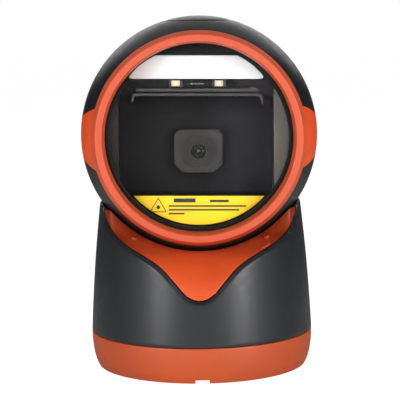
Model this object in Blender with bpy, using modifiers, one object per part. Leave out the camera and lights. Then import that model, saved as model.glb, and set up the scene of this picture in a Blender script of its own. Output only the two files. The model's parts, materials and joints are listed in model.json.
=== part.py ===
"""Desktop presentation barcode scanner: a ball head that tilts in the cup of a round base.

Frame: +Z up, the window faces -Y, +X to the right seen from behind the window.
The origin is under the middle of the base, on the surface that the rubber feet stand on.
Every length below is in millimetres and MM turns it into metres where a mesh is made.
"""
import math

import bmesh
import bpy
from mathutils import Vector

MM = 0.001
GAP = 0.3

# Ball head, measured from the ball's centre.
BALL_R = 50.0
BALL_WALL = 2.2
BALL_Z = 98.6
FACE_F = 23.0
SEAM_Y = 16.0
REAR_FLAT_Y = 46.98

# Bezel ring: radius and distance in front of the ball's centre.
RING_OUTER_R = 44.4
RING_FACE_F = 27.0
RING_FACE_OUTER_R = 42.6
RING_FACE_INNER_R = 39.9
RING_BORE_R = 38.9
RING_BACK_F = 19.9

# Side tabs of the bezel, in side view.
TAB_HALF_FRONT = 13.4
TAB_HALF_PIVOT = 6.8

# Window and what shows through it.
GLASS_R = 40.5
GLASS_F = 19.4
GLASS_T = 1.5
GASKET_R = 38.6
GASKET_BORE_R = 37.0
GASKET_TOP = 23.4
LABEL_R = 36.6
TRAY_R = 41.0
TRAY_F = 15.6
TRAY_T = 2.0
CHAMBER_HALF_X = 32.4
CHAMBER_LOW = -24.3
CHAMBER_HIGH = 17.0
CHAMBER_BACK_F = 4.0
CHAMBER_WALL = 1.4
DIFFUSER_LOW = 24.0
DIFFUSER_HIGH = 33.7
SEGMENT_R = 38.2
LED_X = 8.9
LED_Z = 22.3
LED_HALF_X = 1.75
LED_HALF_Z = 1.2
CAMERA_Z = -6.6
SHROUD_HALF_X = 10.1
SHROUD_HALF_Z = 9.0

# Screws that hold the two halves of the head together, and the slots over the beeper.
SHELL_SCREW_R = 40.5
SHELL_SCREW_ANGLES = (30, 150, 210, 330)
SHELL_SCREW_WELL_R = 3.0
BEEPER_SLOT_X = (-6, -3, 0, 3, 6)
BEEPER_SLOT_HALF = 6.0
BEEPER_SLOT_HALF_WIDE = 0.6

# Top button.
BUTTON_R = 13.5
BUTTON_FLANGE_R = 14.8
BUTTON_TOP = 49.95

# Base.
BASE_LIFT = 0.8
SEAM_Z = 15.8
BASE_MAX_R = 46.98
BASE_WALL = 2.4
RIM_Z = 70.3
LINER_Z = 66.2
CUP_R = 50.9
CUP_WALL = 1.4
RIM_CLEAR_R = 50.5
LIP_FORWARD = 18.5
OPENING_EDGE = 69.0
SCREW_CIRCLE_R = 38.8
FOOT_CIRCLE_R = 30.0
FOOT_R = 5.0
PLATE_LOW = 3.0
PLATE_HIGH = 5.2

# Clamp: its axis leans back from the vertical, so that the slot stays hidden in the cup.
CLAMP_LEAN = math.radians(15.0)
TILT_UP = math.radians(20.0)
TILT_DOWN = math.radians(10.0)
STUD_R = 4.0
STUD_BORE_R = 2.5

# Cable inlet at the back of the base.
SOCKET_HALF_X = 6.4
SOCKET_LOW = 20.0
SOCKET_HIGH = 31.5
SOCKET_BACK_Y = 44.6
SOCKET_DEPTH = 13.0
BOARD_T = 1.6
HARNESS_R = 1.6

COLUMNS = 48
BALL_SIDES = 40
FINE_SIDES = 48
SMALL_SIDES = 20
SCREW_SIDES = 12
SCREW_ANGLES = (45, 135, 225, 315)

MATERIALS = {
    "black_shell": ((0.030, 0.030, 0.032), 0.38, 0.0),
    "orange_trim": ((0.780, 0.100, 0.030), 0.35, 0.0),
    "clear_window": ((0.10, 0.10, 0.11), 0.05, 0.0),
    "black_rubber": ((0.015, 0.015, 0.015), 0.80, 0.0),
    "matte_black": ((0.012, 0.012, 0.013), 0.60, 0.0),
    "white_diffuser": ((0.86, 0.85, 0.87), 0.40, 0.0),
    "yellow_label": ((1.0, 0.72, 0.03), 0.45, 0.0),
    "circuit_board": ((0.010, 0.090, 0.040), 0.45, 0.0),
    "led_body": ((0.85, 0.83, 0.70), 0.30, 0.0),
    "steel": ((0.55, 0.55, 0.56), 0.35, 1.0),
    "lens_glass": ((0.04, 0.05, 0.08), 0.03, 0.0),
    "cable_sheath": ((0.020, 0.020, 0.020), 0.50, 0.0),
}


def clear_scene():
    for item in list(bpy.data.objects):
        bpy.data.objects.remove(item, do_unlink=True)


def new_collection(name):
    collection = bpy.data.collections.new(name)
    bpy.context.scene.collection.children.link(collection)
    return collection


def material(name):
    found = bpy.data.materials.get(name)
    if found:
        return found
    colour, roughness, metallic = MATERIALS[name]
    made = bpy.data.materials.new(name)
    made.use_nodes = True
    shader = made.node_tree.nodes["Principled BSDF"]
    shader.inputs["Base Color"].default_value = (*colour, 1.0)
    shader.inputs["Roughness"].default_value = roughness
    shader.inputs["Metallic"].default_value = metallic
    return made


def place(name, data, slot, parent=None):
    """Put a mesh or curve in the scene as a sub-part, or as a cutter when slot is None."""
    item = bpy.data.objects.new(name, data)
    if slot is None:
        CUTTERS.objects.link(item)
        item.hide_render = True
        item.display_type = "WIRE"
    else:
        PARTS.objects.link(item)
        data.materials.append(material(slot))
    item.parent = parent
    return item


def mesh_of(name, work):
    mesh = bpy.data.meshes.new(name)
    work.to_mesh(mesh)
    work.free()
    return mesh


def shade(mesh, angle=35.0):
    mesh.shade_smooth()
    mesh.set_sharp_from_angle(angle=math.radians(angle))


def block(name, low, high, slot, parent=None, bevel=0.0):
    """A box between two corners, with its edges rounded if bevel is given."""
    low = Vector(low) * MM
    high = Vector(high) * MM
    work = bmesh.new()
    bmesh.ops.create_cube(work, size=1.0)
    bmesh.ops.scale(work, vec=high - low, verts=work.verts)
    item = place(name, mesh_of(name, work), slot, parent)
    item.location = (low + high) / 2
    if bevel:
        round_edges(item, bevel)
    return item


def round_edges(item, width, segments=2):
    bevel = item.modifiers.new("round_edges", "BEVEL")
    bevel.width = width * MM
    bevel.segments = segments
    bevel.limit_method = "ANGLE"
    bevel.angle_limit = math.radians(40)


def rod(name, radius, low, high, slot, parent=None, sides=20, top_radius=None):
    """A cylinder or cone along local Z between two heights."""
    top_radius = radius if top_radius is None else top_radius
    work = bmesh.new()
    bmesh.ops.create_cone(work, cap_ends=True, segments=sides, radius1=radius * MM,
                          radius2=top_radius * MM, depth=(high - low) * MM)
    mesh = mesh_of(name, work)
    shade(mesh)
    item = place(name, mesh, slot, parent)
    item.location.z = (low + high) / 2 * MM
    return item


def turned(name, profile, slot, parent=None, sides=BALL_SIDES, closed=True):
    """A profile of (radius, height) points turned about local Z."""
    work = bmesh.new()
    points = [work.verts.new((radius * MM, 0, height * MM)) for radius, height in profile]
    for first, second in zip(points, points[1:]):
        work.edges.new((first, second))
    if closed:
        work.edges.new((points[-1], points[0]))
    item = place(name, mesh_of(name, work), slot, parent)
    screw = item.modifiers.new("turn", "SCREW")
    screw.axis = "Z"
    screw.steps = sides
    screw.render_steps = sides
    screw.use_merge_vertices = True
    screw.merge_threshold = 0.00001
    return item


def outline_plate(name, outline, low, high, slot, parent=None):
    """A flat outline of (x, z) points given thickness from y = low to y = high."""
    curve = bpy.data.curves.new(name, "CURVE")
    curve.dimensions = "2D"
    curve.fill_mode = "BOTH"
    curve.render_resolution_u = 0
    curve.extrude = (high - low) / 2 * MM
    spline = curve.splines.new("POLY")
    spline.points.add(len(outline) - 1)
    for point, (x, z) in zip(spline.points, outline):
        point.co = (x * MM, z * MM, 0, 1)
    spline.use_cyclic_u = True
    guide = bpy.data.objects.new(name + "_guide", curve)
    bpy.context.scene.collection.objects.link(guide)
    mesh = solid_from_curve(name, guide)
    item = place(name, mesh, slot, parent)
    item.rotation_euler = (math.pi / 2, 0, 0)
    item.location.y = (low + high) / 2 * MM
    return item


def solid_from_curve(name, guide):
    bpy.context.view_layer.update()
    graph = bpy.context.evaluated_depsgraph_get()
    mesh = bpy.data.meshes.new_from_object(guide.evaluated_get(graph))
    mesh.name = name
    work = bmesh.new()
    work.from_mesh(mesh)
    bmesh.ops.remove_doubles(work, verts=work.verts, dist=0.00001)
    bmesh.ops.recalc_face_normals(work, faces=work.faces)
    work.to_mesh(mesh)
    work.free()
    bpy.data.objects.remove(guide, do_unlink=True)
    return mesh


def tube(name, points, radius, slot, parent=None):
    """A round wire through a list of points."""
    curve = bpy.data.curves.new(name, "CURVE")
    curve.dimensions = "3D"
    curve.bevel_depth = radius * MM
    curve.bevel_resolution = 1
    curve.render_resolution_u = 0
    curve.use_fill_caps = True
    spline = curve.splines.new("POLY")
    spline.points.add(len(points) - 1)
    for target, point in zip(spline.points, points):
        target.co = (*(Vector(point) * MM), 1)
    return place(name, curve, slot, parent)


def loft(name, sections, slot, parent=None):
    """Join closed sections, one for each column, into one solid that closes round the axis."""
    work = bmesh.new()
    rows = [[work.verts.new(Vector(point) * MM) for point in section] for section in sections]
    for row, following in zip(rows, rows[1:] + rows[:1]):
        for index in range(len(row)):
            before = index - 1
            work.faces.new((row[before], row[index], following[index], following[before]))
    bmesh.ops.remove_doubles(work, verts=work.verts, dist=0.00001)
    bmesh.ops.recalc_face_normals(work, faces=work.faces)
    mesh = mesh_of(name, work)
    shade(mesh, 40.0)
    return place(name, mesh, slot, parent)


def combine(target, other, operation):
    step = target.modifiers.new(operation.lower(), "BOOLEAN")
    step.operation = operation
    step.solver = "EXACT"
    step.object = other


def cut(target, cutter):
    combine(target, cutter, "DIFFERENCE")


def join(target, other):
    combine(target, other, "UNION")


def empty(name, location, parent=None, rotation=(0, 0, 0)):
    item = bpy.data.objects.new(name, None)
    PARTS.objects.link(item)
    item.parent = parent
    item.location = Vector(location) * MM
    item.rotation_euler = rotation
    return item


def face_forward(item):
    """Turn a shape made along local Z so that its +Z points to the front."""
    item.rotation_euler = (math.pi / 2, 0, 0)
    item.location.y = -item.location.z
    item.location.z = 0
    return item


def sphere_radius_at(ball_r, height):
    """Radius, about the vertical axis, of a ball round the head's centre at a given height."""
    return math.sqrt(max(ball_r ** 2 - (BALL_Z - height) ** 2, 0.0))


def body_radius(z):
    """Outer radius of the base: it narrows gently upwards and tucks in under the seam."""
    rise = z - SEAM_Z
    if rise > 0:
        return BASE_MAX_R - 0.0455 * rise - 0.000681 * rise ** 2
    tuck = min(-rise / 15.3, 1.0)
    return BASE_MAX_R - 4.0 * (1 - math.sqrt(1 - tuck ** 2))


EDGE_POINTS = ((0, 35.0), (7, 37.0), (15, 43.3), (24, 49.8), (36, 53.8), (50, 58.0), (60, 61.7),
               (68, 66.4), (73, RIM_Z), (180, RIM_Z))


def edge_height(angle):
    """Height of the black shell's upper edge at an angle, in degrees, from the front."""
    angle = abs(angle)
    for (start, low), (end, high) in zip(EDGE_POINTS, EDGE_POINTS[1:]):
        if angle <= end:
            share = (angle - start) / (end - start)
            if start == 0:
                share = share ** 2
            return low + (high - low) * share
    return RIM_Z


def around(angle, radius, z):
    """A point at an angle, in degrees, from the front of the base."""
    turn = math.radians(angle)
    return (radius * math.sin(turn), -radius * math.cos(turn), z)


def column_angles():
    return [index * 360 / COLUMNS - 180 for index in range(COLUMNS)]


def bezier(start, pull, end, count):
    """Points strictly between start and end on a quadratic curve."""
    points = []
    for index in range(1, count + 1):
        t = index / (count + 1)
        weights = ((1 - t) ** 2, 2 * t * (1 - t), t ** 2)
        corners = zip(weights, (start, pull, end))
        mixed = [(weight * first, weight * second) for weight, (first, second) in corners]
        points.append((sum(first for first, _ in mixed), sum(second for _, second in mixed)))
    return points


def body_section(angle):
    top = edge_height(angle)
    open_front = abs(angle) < OPENING_EDGE
    low = SEAM_Z + GAP / 2
    outer = [(body_radius(z), z) for z in (low + (top - 1.2 - low) * step / 5 for step in range(6))]
    if open_front:
        rim = body_radius(top)
        inner = [(rim - 0.6, top - 0.2), (rim - 1.5, top), (rim - 1.5, top - 2.0),
                 (rim - BASE_WALL, top - 2.0)]
    else:
        ledge = LINER_Z + GAP
        inner = [(sphere_radius_at(RIM_CLEAR_R, top) + 0.2, top), (sphere_radius_at(RIM_CLEAR_R, ledge), ledge),
                 (sphere_radius_at(CUP_R + CUP_WALL + GAP, ledge), ledge),
                 (body_radius(64.4) - BASE_WALL, 64.4)]
    floor = min(top - 2.5, 58.0)
    inner += [(body_radius(z) - BASE_WALL, z) for z in (floor, (floor + 30) / 2, 30.0)]
    spigot = [(41.2, 20.0), (41.2, 7.8), (44.0, 7.8), (44.0, low)]
    return [around(angle, radius, z) for radius, z in outer + inner + spigot]


def make_base_body():
    body = loft("base_body", [body_section(angle) for angle in column_angles()], "black_shell")
    for index, angle in enumerate(SCREW_ANGLES):
        x, y, _ = around(angle, SCREW_CIRCLE_R, 0)
        boss = rod(f"base_boss_{index + 1}", 2.7, 5.5, 24.0, None, sides=12)
        boss.location.x = x * MM
        boss.location.y = y * MM
        join(body, boss)
        hole = rod(f"base_boss_hole_{index + 1}", 1.75, 5.0, 18.0, None, sides=12)
        hole.location.x = x * MM
        hole.location.y = y * MM
        cut(body, hole)
    window = block("socket_window", (-SOCKET_HALF_X - GAP, 38, SOCKET_LOW - GAP),
                   (SOCKET_HALF_X + GAP, 50, SOCKET_HIGH + GAP), None)
    cut(body, window)
    return body


def lip_point(angle):
    """Where the cup's inner wall ends: a plane in front, the liner's level round the back."""
    forward = math.cos(math.radians(angle))
    radius = sphere_radius_at(CUP_R, LINER_Z)
    if forward > 0:
        radius = min(radius, LIP_FORWARD / forward)
    return radius, BALL_Z - math.sqrt(CUP_R ** 2 - radius ** 2)


def ball_point(ball_r, polar):
    """A point (radius, height) on a ball round the head's centre, at an angle from its bottom."""
    return ball_r * math.sin(polar), BALL_Z - ball_r * math.cos(polar)


def cradle_section(angle):
    open_front = abs(angle) < OPENING_EDGE
    lip = lip_point(angle)
    lip_polar = math.asin(lip[0] / CUP_R)
    cup = [ball_point(CUP_R, lip_polar * step / 5) for step in range(5)] + [lip]
    if open_front:
        top = edge_height(angle)
        edge = (body_radius(top) - 1.8, top + 0.1)
        side = (edge[0], edge[1] - 1.7)
        under = (edge[0] - 1.6, edge[1] - 1.7)
        back_polar = lip_polar - math.radians(1.5)
    else:
        edge = (sphere_radius_at(CUP_R + CUP_WALL, LINER_Z), LINER_Z)
        side = (sphere_radius_at(CUP_R + CUP_WALL, LINER_Z - 0.8), LINER_Z - 0.8)
        under = (sphere_radius_at(CUP_R + CUP_WALL, LINER_Z - 1.8), LINER_Z - 1.8)
        back_polar = lip_polar - math.radians(6.0)
    pull = (edge[0] + 0.25 * (lip[0] - edge[0]), edge[1] + 0.75 * (lip[1] - edge[1]))
    scoop = bezier(lip, pull, edge, 3)
    hidden = ball_point(CUP_R + CUP_WALL, back_polar)
    pull = (under[0] + 0.25 * (hidden[0] - under[0]), under[1] + 0.75 * (hidden[1] - under[1]))
    underside = bezier(under, pull, hidden, 2)
    back = [ball_point(CUP_R + CUP_WALL, back_polar * step / 4) for step in (4, 3, 2, 1, 0)]
    return [around(angle, *point) for point in cup + scoop + [edge, side, under] + underside + back]


def clamp_hole(name, radius):
    return rod(name, radius, -60.0, -40.0, None, parent=CLAMP_AXIS, sides=20)


def make_cradle():
    cradle = loft("cradle", [cradle_section(angle) for angle in column_angles()], "orange_trim")
    cut(cradle, clamp_hole("cradle_clamp_hole", STUD_R + 0.35))
    return cradle


def make_base_skirt():
    top = SEAM_Z - GAP / 2
    heights = [top - 0.3, 11.0, 7.0, 4.0, 2.0]
    outer = [(BASE_MAX_R - 0.35, top)] + [(body_radius(z), z) for z in heights]
    inner = [(body_radius(BASE_LIFT) + 0.3, BASE_LIFT), (43.2, BASE_LIFT), (42.9, 1.6), (42.9, 5.5),
             (41.8, 5.5), (41.8, 7.5), (44.3, 7.5), (44.3, top)]
    skirt = turned("base_skirt", outer + inner, "orange_trim", sides=FINE_SIDES)
    notch = block("skirt_notch", (-2.9, -50, 0), (2.9, -38, BASE_LIFT + 1.6), None)
    cut(skirt, notch)
    return skirt


def make_base_plate():
    plate = rod("base_plate", 42.5, PLATE_LOW, PLATE_HIGH, "black_shell", sides=BALL_SIDES)
    for index, angle in enumerate(SCREW_ANGLES):
        x, y, _ = around(angle, SCREW_CIRCLE_R, 0)
        hole = rod(f"plate_hole_{index + 1}", 1.75, 1.0, 7.0, None, sides=12)
        hole.location.x = x * MM
        hole.location.y = y * MM
        cut(plate, hole)
    return plate


def make_base_screws():
    for index, angle in enumerate(SCREW_ANGLES):
        x, y, _ = around(angle, SCREW_CIRCLE_R, 0)
        profile = [(0, 17.0), (1.4, 17.0), (1.4, 2.7), (2.6, 2.7), (2.6, 1.3), (0, 1.3)]
        screw = turned(f"base_screw_{index + 1}", profile, "steel", sides=SCREW_SIDES, closed=False)
        screw.location = Vector((x, y, 0)) * MM


def make_feet():
    for index, angle in enumerate(SCREW_ANGLES):
        x, y, _ = around(angle, FOOT_CIRCLE_R, 0)
        foot = rod(f"rubber_foot_{index + 1}", FOOT_R - 0.5, 0, PLATE_LOW - GAP, "black_rubber",
                   sides=24, top_radius=FOOT_R)
        foot.location.x = x * MM
        foot.location.y = y * MM


def make_counterweight():
    profile = [(4.0, 11.5), (30.0, 11.5), (31.0, 10.5), (31.0, 5.5), (4.0, 5.5)]
    turned("counterweight", profile, "steel", sides=40)


def make_cable_socket():
    socket = block("cable_socket", (-SOCKET_HALF_X, SOCKET_BACK_Y - SOCKET_DEPTH, SOCKET_LOW),
                   (SOCKET_HALF_X, SOCKET_BACK_Y, SOCKET_HIGH), "matte_black")
    mouth = block("socket_mouth", (-5.0, SOCKET_BACK_Y - 10.0, SOCKET_LOW + 2.0),
                  (5.0, SOCKET_BACK_Y + 2.0, SOCKET_HIGH - 2.4), None)
    latch = block("socket_latch", (-2.0, SOCKET_BACK_Y - 8.0, SOCKET_HIGH - 4.0),
                  (2.0, SOCKET_BACK_Y + 2.0, SOCKET_HIGH - 1.0), None)
    cut(socket, mouth)
    cut(socket, latch)
    board_top = SOCKET_LOW - GAP
    block("interface_board", (-13, 14, board_top - BOARD_T), (13, 37.5, board_top), "circuit_board")


def make_clamp():
    """Hollow stud, saddle, spring and nut on the leaning axis; local -Z runs out of the ball."""
    stud = [(STUD_BORE_R, -44.2), (6.5, -44.2), (6.5, -45.7), (STUD_R, -45.7), (STUD_R, -66.5),
            (STUD_BORE_R, -66.5)]
    turned("clamp_stud", stud, "steel", CLAMP_AXIS, sides=24)
    saddle = [(STUD_R + GAP, -46.0), (9.5, -46.0), (9.5, -math.sqrt(47.4 ** 2 - 9.5 ** 2)),
              (7.0, -math.sqrt(47.4 ** 2 - 7.0 ** 2)), (STUD_R + GAP, -math.sqrt(47.4 ** 2 - 4.3 ** 2))]
    turned("clamp_saddle", saddle, "matte_black", CLAMP_AXIS, sides=24)
    nut = rod("clamp_nut", 7.5, -65.0, -60.5, "steel", CLAMP_AXIS, sides=6)
    cut(nut, rod("nut_hole", STUD_R + GAP, -70.0, -55.0, None, CLAMP_AXIS, sides=24))
    turns = 4
    per_turn = 10
    start = -53.2
    end = -59.6
    points = []
    for index in range(turns * per_turn + 1):
        angle = 2 * math.pi * index / per_turn
        points.append((6.0 * math.cos(angle), 6.0 * math.sin(angle), start + (end - start) * index
                       / (turns * per_turn)))
    tube("clamp_spring", points, 0.5, "steel", CLAMP_AXIS)


def make_base():
    make_base_body()
    make_cradle()
    make_base_skirt()
    make_base_plate()
    make_base_screws()
    make_feet()
    make_counterweight()
    make_cable_socket()
    make_clamp()
    route = [(0, 22, 21.5), (0, 18.5, 26.0), (0, 16.9, 35.5), (0, 12.0, 53.8), (0, 11.0, 57.5)]
    tube("harness_lower", route, HARNESS_R, "cable_sheath")


def ball_arc(radius, start_f, end_f, count):
    """Points on the ball from one distance in front of its centre to another."""
    start = math.asin(start_f / radius)
    end = math.asin(end_f / radius)
    points = []
    for index in range(count + 1):
        angle = start + (end - start) * index / count
        points.append((radius * math.cos(angle), radius * math.sin(angle)))
    return points


def tab_outline(grow):
    """Side view of a tab as (y, z): wide at the ring, round about the tilt axis."""
    front = -FACE_F - 1.0
    top_front = (front, TAB_HALF_FRONT + grow)
    lean = math.radians(16.5)
    radius = TAB_HALF_PIVOT + grow
    arc = []
    for index in range(9):
        angle = math.pi / 2 - lean - (math.pi - 2 * lean) * index / 8
        arc.append((radius * math.cos(angle), radius * math.sin(angle)))
    return [top_front] + arc + [(front, -TAB_HALF_FRONT - grow)]


def tab_prism(name, grow):
    """Both tabs' side view swept across the whole head."""
    prism = outline_plate(name, tab_outline(grow), -55, 55, None, HEAD_AXIS)
    prism.rotation_euler = (math.pi / 2, 0, math.pi / 2)
    prism.location = (0, 0, 0)
    return prism


def slot_cutter():
    """Slot in the ball for the stud: an arc-shaped slab under the ball."""
    margin = math.asin((STUD_R + 0.4) / CUP_R)
    back = CLAMP_LEAN + TILT_UP + margin
    front = CLAMP_LEAN - TILT_DOWN - margin
    inner = 44.0
    outer = 54.0
    points = []
    steps = 12
    for index in range(steps + 1):
        angle = front + (back - front) * index / steps
        points.append((outer * math.sin(angle), -outer * math.cos(angle)))
    for index in range(steps + 1):
        angle = back - (back - front) * index / steps
        points.append((inner * math.sin(angle), -inner * math.cos(angle)))
    slab = outline_plate("ball_slot", points, -STUD_R - 0.4, STUD_R + 0.4, None, HEAD_AXIS)
    slab.rotation_euler = (math.pi / 2, 0, math.pi / 2)
    slab.location = (0, 0, 0)
    return slab


def screw_spot(angle):
    turn = math.radians(angle)
    return SHELL_SCREW_R * math.cos(turn), SHELL_SCREW_R * math.sin(turn)


def along_y(name, radius, low, high, x, z, slot, sides=16):
    """A cylinder along Y in the head's frame."""
    item = rod(name, radius, -high, -low, slot, HEAD_AXIS, sides)
    face_forward(item)
    item.location.x = x * MM
    item.location.z = z * MM
    return item


def make_head_shells():
    inner_r = BALL_R - BALL_WALL
    back_f = -SEAM_Y + GAP / 2
    outer = ball_arc(BALL_R, FACE_F - GAP, back_f, 6)
    inner = ball_arc(inner_r, back_f, FACE_F - GAP, 5)
    front = turned("head_front_shell", outer + inner, "black_shell", HEAD_AXIS)
    face_forward(front)
    seam_f = -SEAM_Y - GAP / 2
    flat_f = -REAR_FLAT_Y
    inner_flat = flat_f + BALL_WALL
    outer = ball_arc(BALL_R, seam_f, flat_f, 5) + [(0, flat_f)]
    inner = [(0, inner_flat)] + ball_arc(inner_r, inner_flat, seam_f, 4)
    rear = turned("head_rear_shell", inner + outer, "black_shell", HEAD_AXIS, closed=False)
    face_forward(rear)
    tabs = tab_prism("tab_clearance", GAP)
    cut(front, tabs)
    cut(front, rod("button_hole", BUTTON_R + GAP, 40, 55, None, HEAD_AXIS, 32))
    slot = slot_cutter()
    cut(front, slot)
    cut(rear, slot)
    for index, angle in enumerate(SHELL_SCREW_ANGLES):
        x, z = screw_spot(angle)
        join(front, along_y(f"front_boss_{index + 1}", 5.6, 7.5, SEAM_Y - GAP / 2, x, z, None, 16))
        cut(front, along_y(f"front_boss_hole_{index + 1}", 1.75, 9.4, 17.0, x, z, None, 12))
        join(rear, along_y(f"rear_boss_{index + 1}", 4.6, SEAM_Y + GAP / 2, 21.4, x, z, None, 16))
        cut(rear, along_y(f"rear_boss_hole_{index + 1}", 1.75, 14.0, 22.0, x, z, None, 12))
        cut(rear, along_y(f"screw_recess_{index + 1}", SHELL_SCREW_WELL_R, 19.5, 36.0, x, z, None, 16))
        head = [(0, -9.8), (1.4, -9.8), (1.4, -19.8), (2.6, -19.8), (2.6, -21.3), (0, -21.3)]
        screw = turned(f"shell_screw_{index + 1}", head, "steel", HEAD_AXIS, SCREW_SIDES, closed=False)
        face_forward(screw)
        screw.location = Vector((x, 0, z)) * MM
    wide = BEEPER_SLOT_HALF_WIDE
    for index, x in enumerate(BEEPER_SLOT_X):
        half = BEEPER_SLOT_HALF - 0.35 * abs(x)
        cut(rear, block(f"beeper_slot_{index + 1}", (x - wide, 40, -half), (x + wide, 50, half), None,
                        HEAD_AXIS))


def make_front_bezel():
    profile = [(RING_FACE_OUTER_R, RING_FACE_F), (RING_OUTER_R, FACE_F), (41.5, FACE_F),
               (41.3, RING_BACK_F), (RING_BORE_R, RING_BACK_F), (RING_FACE_INNER_R - 0.3, RING_FACE_F - 0.6),
               (RING_FACE_INNER_R, RING_FACE_F)]
    ring = turned("front_bezel", profile, "orange_trim", HEAD_AXIS, sides=FINE_SIDES)
    face_forward(ring)
    skin = turned("tab_skin", ball_arc(BALL_R, FACE_F + 1.0, -9.0, 6)
                  + ball_arc(BALL_R - BALL_WALL, -9.0, FACE_F + 1.0, 5), None, HEAD_AXIS)
    face_forward(skin)
    combine(skin, tab_prism("tab_shape", 0.0), "INTERSECT")
    join(ring, skin)


def make_window():
    face_forward(rod("scan_window", GLASS_R, GLASS_F - GLASS_T, GLASS_F, "clear_window", HEAD_AXIS,
                     BALL_SIDES))
    profile = [(GASKET_R, 20.9), (GASKET_R, 19.7), (GASKET_BORE_R, 19.7), (GASKET_BORE_R, 20.9)]
    gasket = turned("window_gasket", profile, "black_rubber", HEAD_AXIS)
    face_forward(gasket)
    cut(gasket, block("gasket_gap", (-45, -25, GASKET_TOP), (45, -15, 45), None, HEAD_AXIS))


def segment_outline(radius, low, high, count=10):
    """Right half then left half of the part of a disc between two heights."""
    start = math.asin(low / radius)
    end = math.asin(high / radius)
    right = []
    for index in range(count + 1):
        angle = start + (end - start) * index / count
        right.append((radius * math.cos(angle), radius * math.sin(angle)))
    left = [(-x, z) for x, z in reversed(right)]
    return right + left


def make_optical_tray():
    tray = rod("optical_tray", TRAY_R, TRAY_F - TRAY_T, TRAY_F, "matte_black", HEAD_AXIS, BALL_SIDES)
    face_forward(tray)
    wall = CHAMBER_WALL
    back = -CHAMBER_BACK_F
    tube_block = block("chamber_outside", (-CHAMBER_HALF_X - wall, -TRAY_F + 1.0, CHAMBER_LOW - wall),
                       (CHAMBER_HALF_X + wall, back + wall, CHAMBER_HIGH + wall), None, HEAD_AXIS)
    join(tray, tube_block)
    inside = block("chamber_inside", (-CHAMBER_HALF_X, -TRAY_F - 2.0, CHAMBER_LOW),
                   (CHAMBER_HALF_X, back, CHAMBER_HIGH), None, HEAD_AXIS)
    cut(tray, inside)
    cut(tray, block("camera_opening", (-8, back - 2, CAMERA_Z - 7), (8, back + wall + 2, CAMERA_Z + 7),
                    None, HEAD_AXIS))
    outline = segment_outline(SEGMENT_R + GAP, DIFFUSER_LOW - GAP, DIFFUSER_HIGH + GAP)
    cut(tray, outline_plate("diffuser_pocket", outline, -TRAY_F - 1, -TRAY_F + 1.4, None, HEAD_AXIS))


def make_window_contents():
    outline = segment_outline(SEGMENT_R, DIFFUSER_LOW, DIFFUSER_HIGH)
    outline_plate("diffuser_panel", outline, -TRAY_F, -TRAY_F + 1.1, "white_diffuser", HEAD_AXIS)
    front = -TRAY_F - GAP
    block("led_board", (-16, front - 0.5, 20.9), (16, front, 23.6), "matte_black", HEAD_AXIS)
    for side, x in (("left", -LED_X), ("right", LED_X)):
        block(f"led_{side}", (x - LED_HALF_X, front - 1.4, LED_Z - LED_HALF_Z),
              (x + LED_HALF_X, front - 0.8, LED_Z + LED_HALF_Z), "led_body", HEAD_AXIS)
    hood = block("led_hood", (-27.3, front - 1.4, 16.9), (27.3, front, 18.0), "matte_black", HEAD_AXIS)
    join(hood, block("upper_rib", (-25.2, front - 1.4, 17.6), (25.2, front, 20.1), None, HEAD_AXIS))
    outline = segment_outline_below(LABEL_R, CHAMBER_LOW - 0.2)
    outline_plate("label_plate", outline, front - 0.5, front, "yellow_label", HEAD_AXIS)


def segment_outline_below(radius, top, count=20):
    """The part of a disc below a height."""
    half = math.acos(-top / radius)
    points = []
    for index in range(count + 1):
        angle = -math.pi / 2 - half + 2 * half * index / count
        points.append((radius * math.cos(angle), radius * math.sin(angle)))
    return points


def octagon(half_x, half_z, small, large):
    """Box outline with small corners cut at the top and large ones at the bottom."""
    right = [(half_x - small, half_z), (half_x, half_z - small), (half_x, -half_z + large),
             (half_x - large, -half_z)]
    return right + [(-x, z) for x, z in reversed(right)]


def make_camera():
    front = -CHAMBER_BACK_F - GAP
    outline = [(x, z + CAMERA_Z) for x, z in octagon(SHROUD_HALF_X, SHROUD_HALF_Z, 2.0, 3.7)]
    shroud = outline_plate("camera_shroud", outline, front - 4.0, front, "matte_black", HEAD_AXIS)
    for index, (radius, depth) in enumerate(((7.0, 1.0), (6.0, 1.8), (5.0, 2.6), (3.9, 3.2))):
        cut(shroud, along_y(f"shroud_step_{index + 1}", radius, front - 6, front - 4.0 + depth, 0,
                            CAMERA_Z, None, SMALL_SIDES))
    cut(shroud, along_y("shroud_bore", 3.1, front - 6, front + 2, 0, CAMERA_Z, None, SMALL_SIDES))
    barrel = [(1.4, 6.6), (1.9, 7.4), (2.8, 7.4), (2.8, -3.0), (2.0, -3.0), (2.0, 5.6), (1.4, 5.6)]
    face_forward(turned("lens_barrel", barrel, "matte_black", HEAD_AXIS, SMALL_SIDES))
    bpy.data.objects["lens_barrel"].location.z = CAMERA_Z * MM
    lens = [(0, 5.3), (1.0, 5.1), (1.7, 4.6), (1.7, 3.6), (0, 3.6)]
    face_forward(turned("lens_element", lens, "lens_glass", HEAD_AXIS, SMALL_SIDES, closed=False))
    bpy.data.objects["lens_element"].location.z = CAMERA_Z * MM
    block("sensor_board", (-12, 3.4, CAMERA_Z - 10), (12, 4.6, CAMERA_Z + 10), "circuit_board",
          HEAD_AXIS)


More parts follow.
